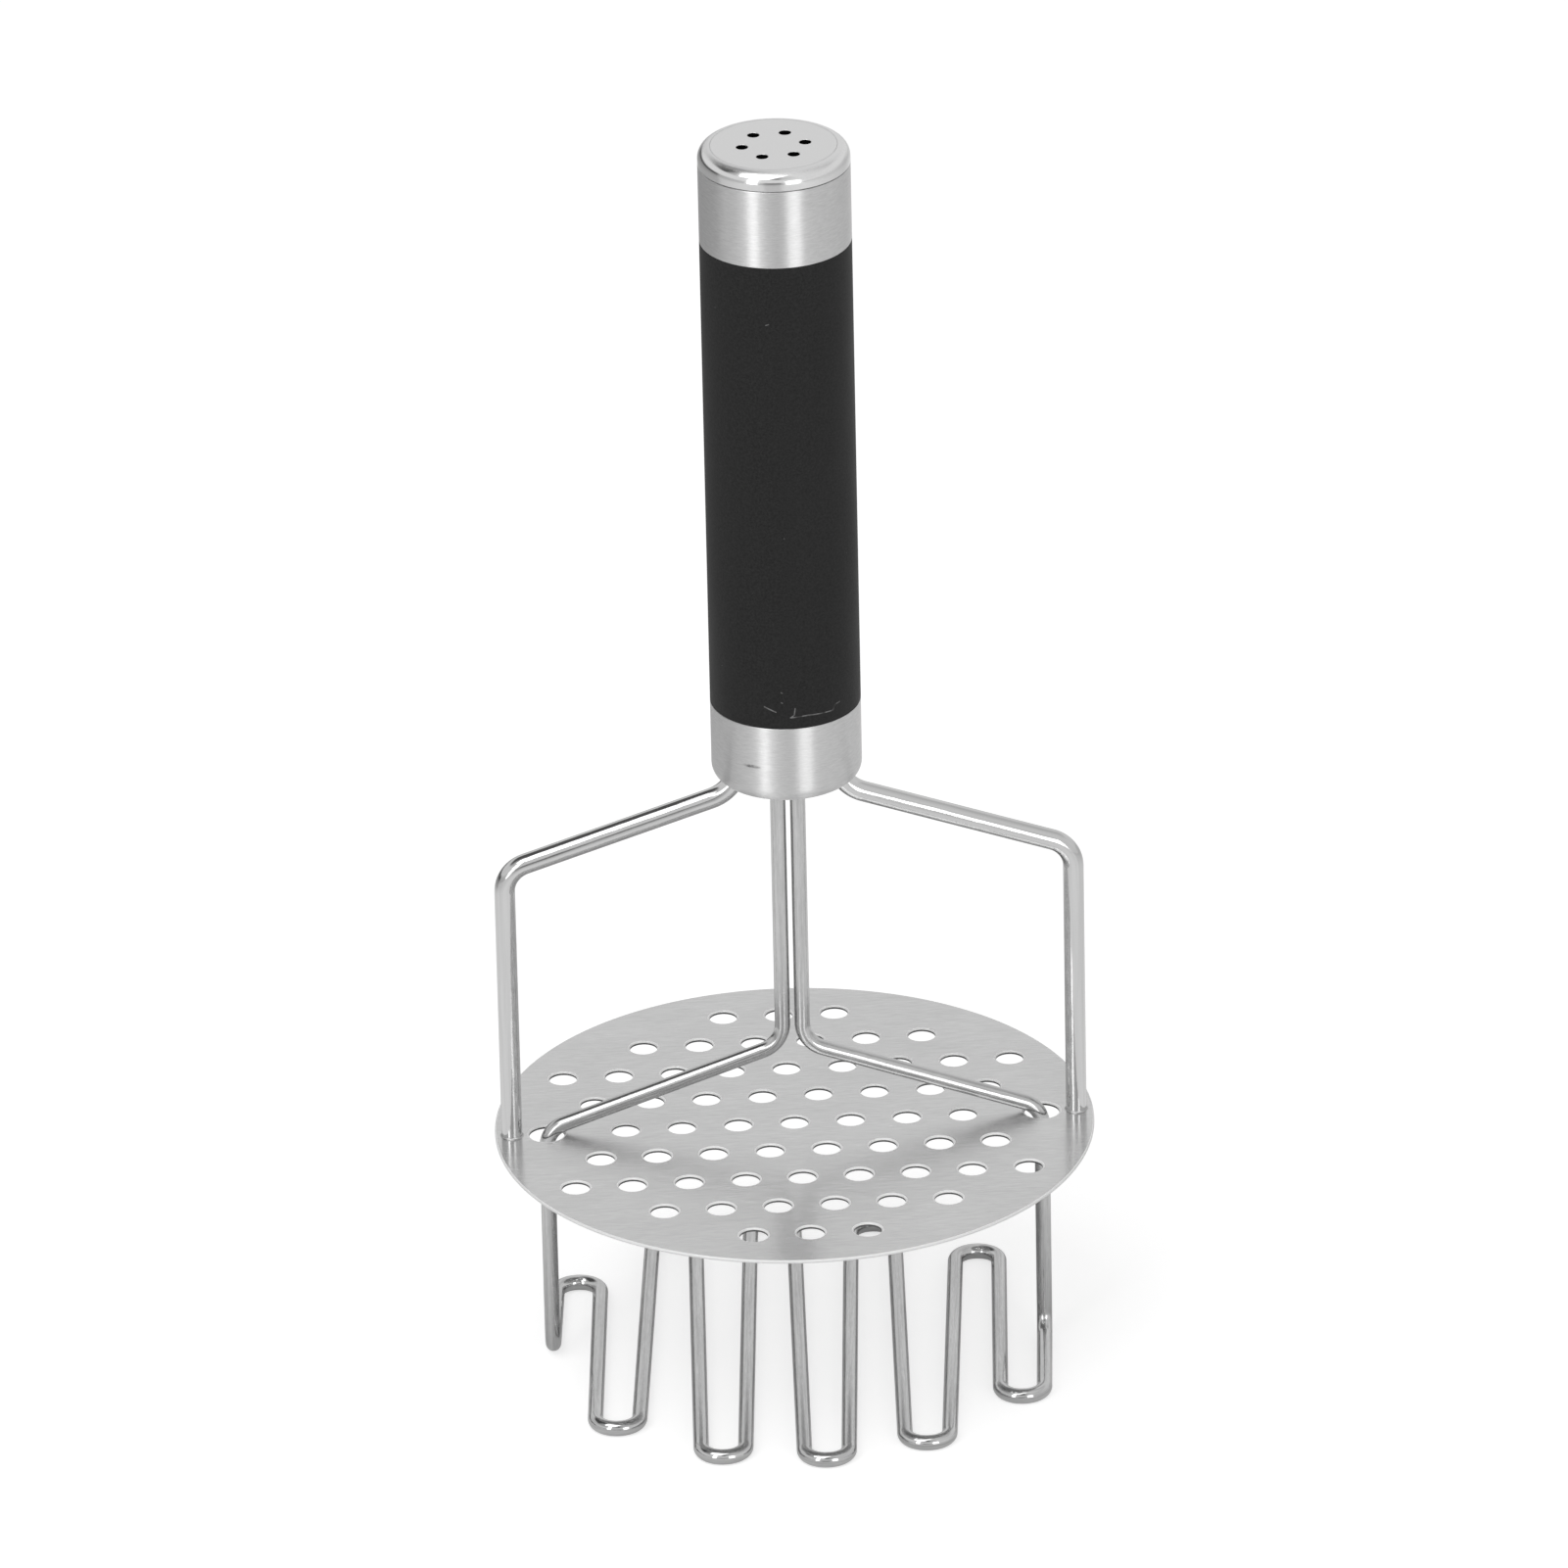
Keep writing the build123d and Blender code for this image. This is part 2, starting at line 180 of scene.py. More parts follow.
class Finishes(bpy.types.PropertyGroup):
    ferrule: tint("Ferrule steel", "Brushed steel of the ferrules", "#d2d2d2")
    cap: tint("Cap steel", "Satin steel of the cap", "#dddddd")
    plate: tint("Plate steel", "Satin steel of the plate", "#cecece")
    frame_wire: tint("Frame wire steel", "Polished steel of the frame wires", "#cecece")
    grid_wire: tint("Grid wire steel", "Drawn steel of the grid wire", "#c6c6c6")
    grip: tint("Grip", "Soft-touch coating of the grip", "#1a1a1a")
    # Dark colour of the punched holes' walls: torn steel, and painted shade in the holes
    cut_edge_shade: tint("Cut edge", "Torn steel in the holes that the punch leaves", "#565656")
    # Painted shade in the cap's vents; the worn spot on the lower ferrule takes this colour too
    vent_shade_and_scuff: tint("Vent edge", "Steel in the vents, in the shade of the handle", "#2c2c2c")
    # Painted highlight on the plate's rounded edges
    painted_edge_highlight: tint("Round edge", "Bright steel of the plate's rounded edges", "#eeeeee")
    scratch: tint("Scratch", "Scratches and dust on the grip", "#9a9a9a")
    black_plastic: tint("Black plastic", "Moulded parts inside the handle", "#1c1c1c")
    rubber: tint("Rubber", "Stop buffer", "#242424")


class StudioSettings(bpy.types.PropertyGroup):
    aim: FloatVectorProperty(
        name="Aim",
        description="Point that the camera looks at",
        default=(2.09 * MM, 47.57 * MM, 98.57 * MM),
        size=3,
        subtype="XYZ",
        unit="LENGTH",
    )
    distance: length("Distance", "From the camera to the point that it looks at", 2862.97 * MM)
    azimuth: angle("Azimuth", "Turn of the camera round the masher", -3.26)
    elevation: angle("Elevation", "Height angle of the camera", 25.78)
    roll: angle("Roll", "Turn of the camera about its view", -1.24)
    sensor: amount("Sensor", "Sensor width in millimetres", 36.0)
    focal_pixels: amount("Focal length", "Focal length in pixels of the picture", 15000.0)
    picture: whole("Picture", "Width and height of the picture", 1601, 16)
    floor: tint("Floor", "Pale floor", "#c8c8c8")
    floor_lift: amount("Floor lift", "Light added where the floor is seen", 0.66)
    mirrored_lift: amount("Mirrored lift", "Light added where metal mirrors the floor", 0.5)
    floor_size: length("Floor size", "Half the side of the floor", 8.0)
    fill: amount("Fill", "Even light from all round", 0.45)
    ceiling: amount("Ceiling", "Brightness of the mirrored ceiling", 0.85)
    low_sky: amount("Low sky", "Brightness of the room that level metal mirrors", 0.88)
    strip_level: amount("Strip level", "Brightness of the two strips", 2.8)
    top_level: amount("Top level", "Brightness of the overhead lamp", 2.0)


class MasherSettings(bpy.types.PropertyGroup):
    handle: PointerProperty(type=HandleSizes)
    plate: PointerProperty(type=PlateSizes)
    wire: PointerProperty(type=WireSizes)
    finish: PointerProperty(type=Finishes)
    studio: PointerProperty(type=StudioSettings)


# Nodes


# Short names of nodes: kind of node, its inputs in order, its output and its settings. Any other name
# is an operation of the Math node.
NODES = {
    "BLEND": ("ShaderNodeMix", (0, 2, 3), 0, {"data_type": "FLOAT"}),
    "BLEND_COLOUR": ("ShaderNodeMix", (0, 6, 7), 2, {"data_type": "RGBA"}),
    "TINT": ("ShaderNodeMix", (0, 6, 7), 2, {"data_type": "RGBA", "blend_type": "MULTIPLY"}),
    "GREY": ("ShaderNodeCombineColor", (0, 1, 2), 0, {}),
    "SPREAD": ("ShaderNodeMapRange", (0, 1, 2, 3, 4), 0, {"clamp": True}),
    "COMBINE": ("ShaderNodeCombineXYZ", (0, 1, 2), 0, {}),
    "SPLIT": ("ShaderNodeSeparateXYZ", (0,), slice(None), {}),
    "VECTOR_GAP": ("ShaderNodeVectorMath", (0, 1), "Vector", {"operation": "SUBTRACT"}),
    "VECTOR_SCALE": ("ShaderNodeVectorMath", (0, "Scale"), "Vector", {"operation": "SCALE"}),
    "DOT": ("ShaderNodeVectorMath", (0, 1), "Value", {"operation": "DOT_PRODUCT"}),
    "DISTANCE": ("ShaderNodeVectorMath", (0, 1), "Value", {"operation": "DISTANCE"}),
    "CHANNELS": ("ShaderNodeSeparateColor", (0,), slice(None), {}),
    "INDEX": ("GeometryNodeInputIndex", (), 0, {}),
    "POSITION": ("GeometryNodeInputPosition", (), 0, {}),
    "POINTS": ("GeometryNodePoints", ("Count", "Position"), 0, {}),
    "CIRCLE": ("GeometryNodeCurvePrimitiveCircle", ("Resolution", "Radius"), 0, {}),
    "COPIES": ("GeometryNodeInstanceOnPoints", ("Points", "Instance", "Scale"), 0, {}),
    "REAL": ("GeometryNodeRealizeInstances", (0,), 0, {}),
    "JOIN": ("GeometryNodeJoinGeometry", (0,), 0, {}),
}


def add(tree, kind, inputs=None, **settings):
    """Adds a node, gives it its settings, and fills or links its inputs by name or number. A list of
    sockets all goes into one input."""
    node = tree.nodes.new(kind)
    for name, value in settings.items():
        setattr(node, name, value)
    for key, value in (inputs or {}).items():
        sockets = value if isinstance(value, list) else [value]
        if isinstance(sockets[0], bpy.types.NodeSocket):
            for socket in sockets:
                tree.links.new(socket, node.inputs[key])
        else:
            node.inputs[key].default_value = value
    return node


def result(tree, name, *inputs):
    """What a node with a short name, or an operation of the Math node, makes of its inputs."""
    kind, order, output, settings = NODES.get(name, ("ShaderNodeMath", range(3), 0, {"operation": name}))
    return add(tree, kind, dict(zip(order, inputs)), **settings).outputs[output]


def distance_from_axis(tree, axes):
    """How far a place is from the masher's upright axis."""
    squares = [result(tree, "POWER", axes[number], 2.0) for number in range(2)]
    return result(tree, "SQRT", result(tree, "ADD", *squares))


def heading(tree, axes, start):
    """How far a place is turned round the upright axis, to the right from a start heading."""
    turn = result(tree, "ARCTAN2", axes[0], result(tree, "MULTIPLY", axes[1], -1.0))
    return result(tree, "SUBTRACT", turn, start)


def ray_kinds(tree):
    """Two numbers: 1 where the camera sees a surface, and 1 where metal mirrors it."""
    path = add(tree, "ShaderNodeLightPath").outputs
    mirrored = result(tree, "MAXIMUM", path["Is Glossy Ray"], path["Is Transmission Ray"])
    return path["Is Camera Ray"], mirrored


# Materials


# The values between which most of a noise lies
NOISE_SPAN = (0.3, 0.7)
WIDE_NOISE_SPAN = (0.25, 0.75)


def new_material(name):
    """An empty material, with its tree and its Object coordinates."""
    material = bpy.data.materials.new(name)
    material.use_nodes = True
    tree = material.node_tree
    tree.nodes.clear()
    place = add(tree, "ShaderNodeTexCoord").outputs["Object"]
    return material, tree, place


def principled(material, inputs):
    """Ends a material in a Principled shader with the given inputs."""
    tree = material.node_tree
    shader = add(tree, "ShaderNodeBsdfPrincipled", inputs)
    add(tree, "ShaderNodeOutputMaterial", {"Surface": shader.outputs[0]})
    return material


def bare_steel(material, base, rough, normal):
    """Ends a material as bare steel."""
    inputs = {"Base Color": base, "Metallic": 1.0, "Roughness": rough, "Normal": normal}
    return principled(material, inputs)


def stretched_noise(tree, place, sizes, detail=3.0, roughness=0.6):
    """Noise whose grains have the given sizes along X, Y and Z, in metres."""
    scale = [1 / size for size in sizes]
    mapping = add(tree, "ShaderNodeMapping", {"Vector": place, "Scale": scale})
    inputs = {"Vector": mapping.outputs[0], "Scale": 1.0, "Detail": detail, "Roughness": roughness}
    return add(tree, "ShaderNodeTexNoise", inputs).outputs["Fac"]


def varied(tree, value, least, most):
    """A number that follows a noise from one value to another."""
    return result(tree, "SPREAD", value, *NOISE_SPAN, least, most)


def bumped(tree, height, strength, distance):
    """The bumps that a noise gives a surface."""
    inputs = {"Strength": strength, "Distance": distance, "Height": height}
    return add(tree, "ShaderNodeBump", inputs).outputs[0]


def marked(tree, name):
    """1 on the faces that carry a mark, and 0 elsewhere."""
    return add(tree, "ShaderNodeAttribute", attribute_name=name).outputs["Fac"]


def along_the_wire(tree):
    """A place as it was on the straight wire."""
    return add(tree, "ShaderNodeAttribute", attribute_name="wire_place").outputs["Vector"]


def shaded(tree, base, value, darkest, brightest):
    """A colour made darker or brighter by a number from 0 to 1."""
    level = result(tree, "SPREAD", value, *WIDE_NOISE_SPAN, darkest, brightest)
    return result(tree, "TINT", 1.0, base, result(tree, "GREY", level, level, level))


# Heading, height and half sizes of the worn spot on the lower ferrule
SCUFF = (math.radians(-31), 131.6 * MM, (2.0 * MM, 0.35 * MM))


def brushed_ferrule_steel(finish):
    """Stainless sheet, drawn into a tube and brushed as it turned: rings of fine scratches, which
    spread each lamp up and down into an upright band. The rings are drawn coarser than real ones."""
    material, tree, place = new_material("brushed_ferrule_steel")
    scratch = stretched_noise(tree, place, (1.8 * MM, 1.8 * MM, 0.26 * MM), detail=5.0, roughness=0.75)
    cloud = stretched_noise(tree, place, (5 * MM, 5 * MM, 4 * MM), detail=2.0)
    base = shaded(tree, finish.ferrule, scratch, 0.83, 1.14)
    base = result(tree, "BLEND_COLOUR", scuff_mark(tree, place, *SCUFF), base, finish.vent_shade_and_scuff)
    worn = result(tree, "MULTIPLY", cloud, 0.04)
    rough = result(tree, "ADD", varied(tree, scratch, 0.36, 0.42), worn)
    bump = bumped(tree, scratch, 0.2, 0.01 * MM)
    tangent = add(tree, "ShaderNodeTangent", direction_type="RADIAL", axis="Z")
    inputs = {
        "Base Color": base,
        "Metallic": 1.0,
        "Roughness": rough,
        "Anisotropic": 0.95,
        "Anisotropic Rotation": 0.25,
        "Normal": bump,
        "Tangent": tangent.outputs[0],
    }
    return principled(material, inputs)


def round_the_barrel(tree, place, start):
    """A place on the barrel as a distance round it from a start heading, and its height."""
    axes = result(tree, "SPLIT", place)
    turn = heading(tree, axes, start)
    return result(tree, "MULTIPLY", turn, high("grip_sleeve").x), axes[2]


def scuff_mark(tree, place, start, height, half_sizes):
    """A small worn spot on the barrel, ragged at its edge."""
    across, up = round_the_barrel(tree, place, start)
    across = result(tree, "DIVIDE", across, half_sizes[0])
    up = result(tree, "DIVIDE", result(tree, "SUBTRACT", up, height), half_sizes[1])
    reach = distance_from_axis(tree, (across, up))
    inside = result(tree, "SPREAD", reach, 0.4, 1.1, 1.0, 0.0)
    ragged = stretched_noise(tree, place, (0.9 * MM, 0.9 * MM, 0.25 * MM), detail=3.0)
    return result(tree, "MULTIPLY", inside, result(tree, "SPREAD", ragged, 0.3, 0.6, 0.2, 0.9))


def satin_cap_steel(finish, satin_radius, fade):
    """Stainless sheet, stamped: the crown is fine satin, and the rounded rim is polished."""
    material, tree, place = new_material("satin_cap_steel")
    axes = result(tree, "SPLIT", place)
    reach = distance_from_axis(tree, axes)
    rim = result(tree, "SPREAD", reach, satin_radius, satin_radius + fade, 0.0, 1.0)
    grain = stretched_noise(tree, place, (0.35 * MM, 0.35 * MM, 0.35 * MM), detail=4.0)
    satin = varied(tree, grain, 0.3, 0.4)
    depth = result(tree, "MULTIPLY", result(tree, "SUBTRACT", 1.0, rim), grain)
    bump = bumped(tree, depth, 0.2, 0.02 * MM)
    # The vents' walls are coloured dark as painted shade
    base = marked_colour(tree, "cut_wall", shaded(tree, finish.cap, grain, 0.97, 1.03), finish.vent_shade_and_scuff)
    rough = result(tree, "BLEND", rim, satin, 0.13)
    return bare_steel(material, base, rough, bump)


def marked_colour(tree, name, base, other):
    """A colour, with another one on the faces that carry a mark."""
    return result(tree, "BLEND_COLOUR", marked(tree, name), base, other)


def satin_plate_steel(finish):
    """Cold-rolled stainless sheet with a fine satin grain along X. What stands on it shows in it as
    upright streaks, sharp across the grain's length and blurred the other way. The walls of its holes
    are coloured dark, for the steel that the punch tore and as painted shade in the holes. Its rounded
    edges carry a painted highlight of bright matt white."""
    material, tree, place = new_material("satin_plate_steel")
    grain = stretched_noise(tree, place, (3.5 * MM, 0.35 * MM, 0.3 * MM), detail=5.0, roughness=0.7)
    cloud = stretched_noise(tree, place, (14 * MM, 9 * MM, 9 * MM), detail=2.0)
    sheet = shaded(tree, shaded(tree, finish.plate, grain, 0.87, 1.1), cloud, 0.96, 1.03)
    # Painted shade: the walls of the punched holes take a dark colour, for the torn steel and for the shade
    # in them
    base = marked_colour(tree, "cut_wall", sheet, finish.cut_edge_shade)
    # Painted highlight: the rounded edges take a near-white colour, and below are made matt and nearly
    # without metal, so that they show as bright rings
    base = marked_colour(tree, "rounded_edge", base, finish.painted_edge_highlight)
    rounded = marked(tree, "rounded_edge")
    worn = result(tree, "MULTIPLY", cloud, 0.04)
    rough = result(tree, "ADD", varied(tree, grain, 0.2, 0.25), worn)
    bump = bumped(tree, grain, 0.15, 0.01 * MM)
    tangent = add(tree, "ShaderNodeTangent", direction_type="RADIAL", axis="X")
    inputs = {
        "Base Color": base,
        "Metallic": result(tree, "BLEND", rounded, 1.0, 0.1),
        "Roughness": result(tree, "BLEND", rounded, rough, 0.5),
        "Anisotropic": result(tree, "BLEND", rounded, 0.75, 0.0),
        "Normal": bump,
        "Tangent": tangent.outputs[0],
    }
    return principled(material, inputs)


def polished_frame_steel(finish):
    """Stainless wire, drawn and then tumbled bright: clear reflections, broken into fine lines
    along the wire by what the die left."""
    material, tree, _ = new_material("polished_frame_steel")
    along = along_the_wire(tree)
    lines = stretched_noise(tree, along, (0.8 * MM, 0.8 * MM, 40 * MM), detail=4.0, roughness=0.7)
    dents = stretched_noise(tree, along, (1.0 * MM, 1.0 * MM, 4 * MM), detail=3.0)
    rough = varied(tree, lines, 0.06, 0.14)
    height = result(tree, "ADD", lines, result(tree, "MULTIPLY", dents, 0.4))
    bump = bumped(tree, height, 0.5, 0.06 * MM)
    base = shaded(tree, finish.frame_wire, lines, 0.84, 1.05)
    return bare_steel(material, base, rough, bump)


# Distances from the axis, and heights, between which the grid wire is rubbed bright
RUBBED_DISTANCES = (45 * MM, 49 * MM)
RUBBED_HEIGHTS = (3 * MM, 5 * MM)


def drawn_grid_steel(finish):
    """Stainless wire as drawn: satin, with long fine lines and a few short pits along it, and
    rubbed bright where the bending tool held its turns."""
    material, tree, place = new_material("drawn_grid_steel")
    along = along_the_wire(tree)
    lines = stretched_noise(tree, along, (0.6 * MM, 0.6 * MM, 25 * MM), detail=4.0, roughness=0.7)
    pits = stretched_noise(tree, along, (0.4 * MM, 0.4 * MM, 2.5 * MM), detail=3.0, roughness=0.65)
    axes = result(tree, "SPLIT", place)
    reach = distance_from_axis(tree, axes)
    in_the_turns = result(tree, "SPREAD", reach, *RUBBED_DISTANCES, 0.0, 1.0)
    in_the_grid = result(tree, "SPREAD", axes[2], *RUBBED_HEIGHTS, 1.0, 0.0)
    rubbed = result(tree, "MULTIPLY", in_the_turns, in_the_grid)
    satin = varied(tree, lines, 0.12, 0.24)
    rough = result(tree, "BLEND", rubbed, satin, 0.1)
    height = result(tree, "ADD", lines, result(tree, "MULTIPLY", pits, 0.3))
    bump = bumped(tree, height, 0.5, 0.05 * MM)
    base = shaded(tree, shaded(tree, finish.grid_wire, lines, 0.7, 1.12), pits, 0.9, 1.06)
    return bare_steel(material, base, rough, bump)


def weld_steel(finish):
    """Stainless weld bead, as cast and wire-brushed: duller and rougher than the wire."""
    material, tree, place = new_material("brushed_weld_steel")
    ripple = stretched_noise(tree, place, (0.4 * MM, 0.4 * MM, 0.4 * MM), detail=3.0)
    base = shaded(tree, finish.grid_wire, ripple, 0.6, 0.95)
    bump = bumped(tree, ripple, 0.4, 0.05 * MM)
    rough = varied(tree, ripple, 0.3, 0.45)
    return bare_steel(material, base, rough, bump)


# Scratches on the grip, each as (distance round it to the right of the front, height above its lower
# edge) in millimetres
GRIP_SCRATCHES = (
    ((-3.0, 83.9), (-2.5, 84.1)),
    ((-4.9, 4.6), (-2.7, 3.6)),
    ((-1.6, 7.7), (-1.4, 7.6)),
    ((-1.6, 5.6), (-1.4, 5.5)),
    ((1.0, 4.3), (0.8, 2.9), (0.1, 2.4), (3.4, 2.6), (7.2, 2.4), (8.9, 2.4), (9.4, 3.4), (10.6, 3.6)),
)


def hairlines(tree, place, scratches, floor_z, width):
    """Where thin scratches run on the barrel: near to any of their straight runs."""
    across, up = round_the_barrel(tree, place, 0.0)
    flat = result(tree, "COMBINE", across, result(tree, "SUBTRACT", up, floor_z))
    wander = stretched_noise(tree, place, (1.5 * MM,) * 3, detail=3.0)
    nearest = 1.0
    for scratch in scratches:
        for begin, end in zip(scratch, scratch[1:]):
            begin, end = Vector((*begin, 0)) * MM, Vector((*end, 0)) * MM
            run = end - begin
            away = result(tree, "VECTOR_GAP", flat, begin)
            along = result(tree, "DOT", away, run / run.length_squared)
            share = result(tree, "SPREAD", along, 0.0, 1.0, 0.0, 1.0)
            gap = result(tree, "DISTANCE", away, result(tree, "VECTOR_SCALE", run, share))
            nearest = result(tree, "MINIMUM", nearest, gap)
    line = result(tree, "SPREAD", nearest, 0.4 * width, width, 1.0, 0.0)
    return result(tree, "MULTIPLY", line, result(tree, "SPREAD", wander, 0.35, 0.6, 0.15, 1.0))


def soft_touch_coating(finish):
    """Soft-touch paint on a moulded sleeve: matt, near black, with a fine even grain, dust specks,
    hairline scratches near its lower end, and a soft sheen at a grazing look."""
    material, tree, place = new_material("soft_touch_coating")
    grain = stretched_noise(tree, place, (0.45 * MM, 0.45 * MM, 0.45 * MM), detail=3.0, roughness=0.7)
    cloud = stretched_noise(tree, place, (12 * MM, 12 * MM, 30 * MM), detail=3.0)
    cell_inputs = {"Vector": place, "Scale": 1 / (3 * MM)}
    cells = add(tree, "ShaderNodeTexVoronoi", cell_inputs, feature="F1").outputs
    chosen = result(tree, "CHANNELS", cells["Color"])[0]
    dot = result(tree, "SPREAD", cells["Distance"], 0.03, 0.07, 1.0, 0.0)
    speck = result(tree, "MULTIPLY", dot, result(tree, "SPREAD", chosen, 0.7, 0.95, 0.0, 0.3))
    lines = hairlines(tree, place, GRIP_SCRATCHES, low("grip_sleeve").z, 0.16 * MM)
    dark = shaded(tree, shaded(tree, finish.grip, grain, 0.2, 1.9), cloud, 0.9, 1.1)
    worn = result(tree, "MAXIMUM", speck, result(tree, "MULTIPLY", lines, 0.6))
    bump = bumped(tree, grain, 0.3, 0.03 * MM)
    inputs = {
        "Base Color": result(tree, "BLEND_COLOUR", worn, dark, finish.scratch),
        "Roughness": varied(tree, cloud, 0.6, 0.7),
        "IOR": 1.45,
        "Specular IOR Level": 0.3,
        "Sheen Weight": 0.03,
        "Sheen Roughness": 0.5,
        "Normal": bump,
    }
    return principled(material, inputs)


def moulded_plastic(name, base_colour, grain_size, roughness):
    """Moulded plastic or rubber inside the handle: matt, with the mould's fine grain."""
    material, tree, place = new_material(name)
    grain = stretched_noise(tree, place, (grain_size,) * 3, detail=3.0)
    bump = bumped(tree, grain, 0.2, 0.03 * MM)
    inputs = {
        "Base Color": shaded(tree, base_colour, grain, 0.9, 1.1),
        "Roughness": varied(tree, grain, roughness - 0.06, roughness + 0.06),
        "IOR": 1.5,
        "Normal": bump,
    }
    return principled(material, inputs)


def turned_steel(name, base_colour, ring_size, roughness):
    """Plain steel from the lathe, as in pins, washers and the block: fine rings of tool marks."""
    material, tree, place = new_material(name)
    rings = stretched_noise(tree, place, (4 * MM, 4 * MM, ring_size), detail=3.0)
    bump = bumped(tree, rings, 0.2, 0.02 * MM)
    base = shaded(tree, base_colour, rings, 0.92, 1.05)
    rough = varied(tree, rings, roughness - 0.05, roughness + 0.08)
    return bare_steel(material, base, rough, bump)


# Mesh helpers


def show(name, mesh, material=None):
    """A new object at the origin, with its place in its mesh."""
    piece = bpy.data.objects.new(name, mesh)
    bpy.context.scene.collection.objects.link(piece)
    if material:
        mesh.materials.append(material)
    return piece


def smooth(mesh, sharpest=math.radians(40)):
    """Smooth shading, with the edges past an angle kept sharp."""
    mesh.shade_smooth()
    mesh.set_sharp_from_angle(angle=sharpest)


def settle(piece, body, slot, *nodes):
    """Lets a finished piece ride on its body and stand for its nodes. Its slot is not used."""
    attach(piece, body)
    if nodes:
        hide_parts(*nodes)


def rounded_outline(corners, step=math.radians(9), support=0.05 * MM):
    """Points of an outline of (radius, height, rounding) corners. Each rounding is an arc, with a
    point close to each of its ends, so that flats stay flat under smooth shading."""
    points = []
    for number, (radius, height, rounding) in enumerate(corners):
        corner = Vector((radius, height))
        if rounding == 0:
            points.append(corner)
            continue
        before = (Vector(corners[number - 1][:2]) - corner).normalized()
        after = (Vector(corners[(number + 1) % len(corners)][:2]) - corner).normalized()
        half = before.angle(after) / 2
        centre = corner + (before + after).normalized() * (rounding / math.sin(half))
        reach = rounding / math.tan(half)
        start = corner + before * reach - centre
        end = corner + after * reach - centre
        turn = math.atan2(start.x * end.y - start.y * end.x, start.dot(end))
        steps = math.ceil(abs(turn) / step)
        points.append(centre + start + before * support)
        for count in range(steps + 1):
            points.append(centre + Matrix.Rotation(turn * count / steps, 2) @ start)
        points.append(centre + end + after * support)
    return points


def band_corners(inner, outer, bottom, top, rounding):
    """Corners of a tube's section, rounded on the outside."""
    return [(inner, bottom, 0.0), (outer, bottom, rounding), (outer, top, rounding), (inner, top, 0.0)]


def turned(name, outline, segments, closed=True):
    """The mesh that an outline of (radius, height) points gives when it turns round Z. It faces
    outwards where the outline runs anticlockwise."""
    vertices = []
    for radius, height in outline:
        for count in range(segments):
            turn = 2 * math.pi * count / segments
            vertices.append((radius * math.cos(turn), radius * math.sin(turn), height))
    faces = []
    rings = len(outline)
    for ring in range(rings if closed else rings - 1):
        here = ring * segments
        there = (ring + 1) % rings * segments
        for count in range(segments):
            after = (count + 1) % segments
            faces.append((here + count, here + after, there + after, there + count))
    mesh = bpy.data.meshes.new(name)
    mesh.from_pydata(vertices, [], faces)
    smooth(mesh)
    return mesh


# The kind of socket that a value goes into
SOCKETS = {float: "Float", int: "Int", bpy.types.Object: "Object", bpy.types.Material: "Material"}


def new_tree(name, values):
    """An empty geometry tree with a geometry in and out, and an input named for each value. Gives
    its input sockets."""
    tree = bpy.data.node_groups.new(name, "GeometryNodeTree")
    tree.interface.new_socket("Geometry", in_out="INPUT", socket_type="NodeSocketGeometry")
    for label, value in values.items():
        kind = "NodeSocket" + SOCKETS[type(value)]
        tree.interface.new_socket(label, in_out="INPUT", socket_type=kind)
    tree.interface.new_socket("Geometry", in_out="OUTPUT", socket_type="NodeSocketGeometry")
    return tree, tree.nodes.new("NodeGroupInput").outputs


def close_tree(tree, geometry, finish):
    """Ends a tree in real meshes that have their material."""
    inputs = {"Geometry": result(tree, "REAL", geometry), "Material": finish}
    add(tree, "NodeGroupOutput", {0: add(tree, "GeometryNodeSetMaterial", inputs).outputs[0]})


def stored(tree, geometry, name, value, data_type):
    """A geometry whose points keep a value under a name."""
    inputs = {"Geometry": geometry, "Name": name, "Value": value}
    settings = {"data_type": data_type, "domain": "POINT"}
    return add(tree, "GeometryNodeStoreNamedAttribute", inputs, **settings).outputs[0]


def recalled(tree, name):
    """The number that each point keeps under a name."""
    inputs = {"Name": name}
    return add(tree, "GeometryNodeInputNamedAttribute", inputs, data_type="FLOAT").outputs[0]


def plain_mesh(piece):
    """The mesh that a piece's modifiers make of it."""
    depsgraph = bpy.context.evaluated_depsgraph_get()
    return bpy.data.meshes.new_from_object(piece.evaluated_get(depsgraph), depsgraph=depsgraph)


def grown(name, mesh, tree, values):
    """The plain mesh object that a tree makes of a mesh, with the tree's inputs set by name."""
    host = show(name + "_host", mesh)
    modifier = host.modifiers.new("Form", "NODES")
    modifier.node_group = tree
    sockets = {item.name: item.identifier for item in tree.interface.items_tree if item.in_out == "INPUT"}
    for label, value in values.items():
        modifier[sockets[label]] = value
    made = plain_mesh(host)
    bpy.data.objects.remove(host)
    if len(made.polygons) == 0:
        raise RuntimeError(f"the tree for {name} made no faces")
    made.name = name
    return show(name, made)


# Bent wires


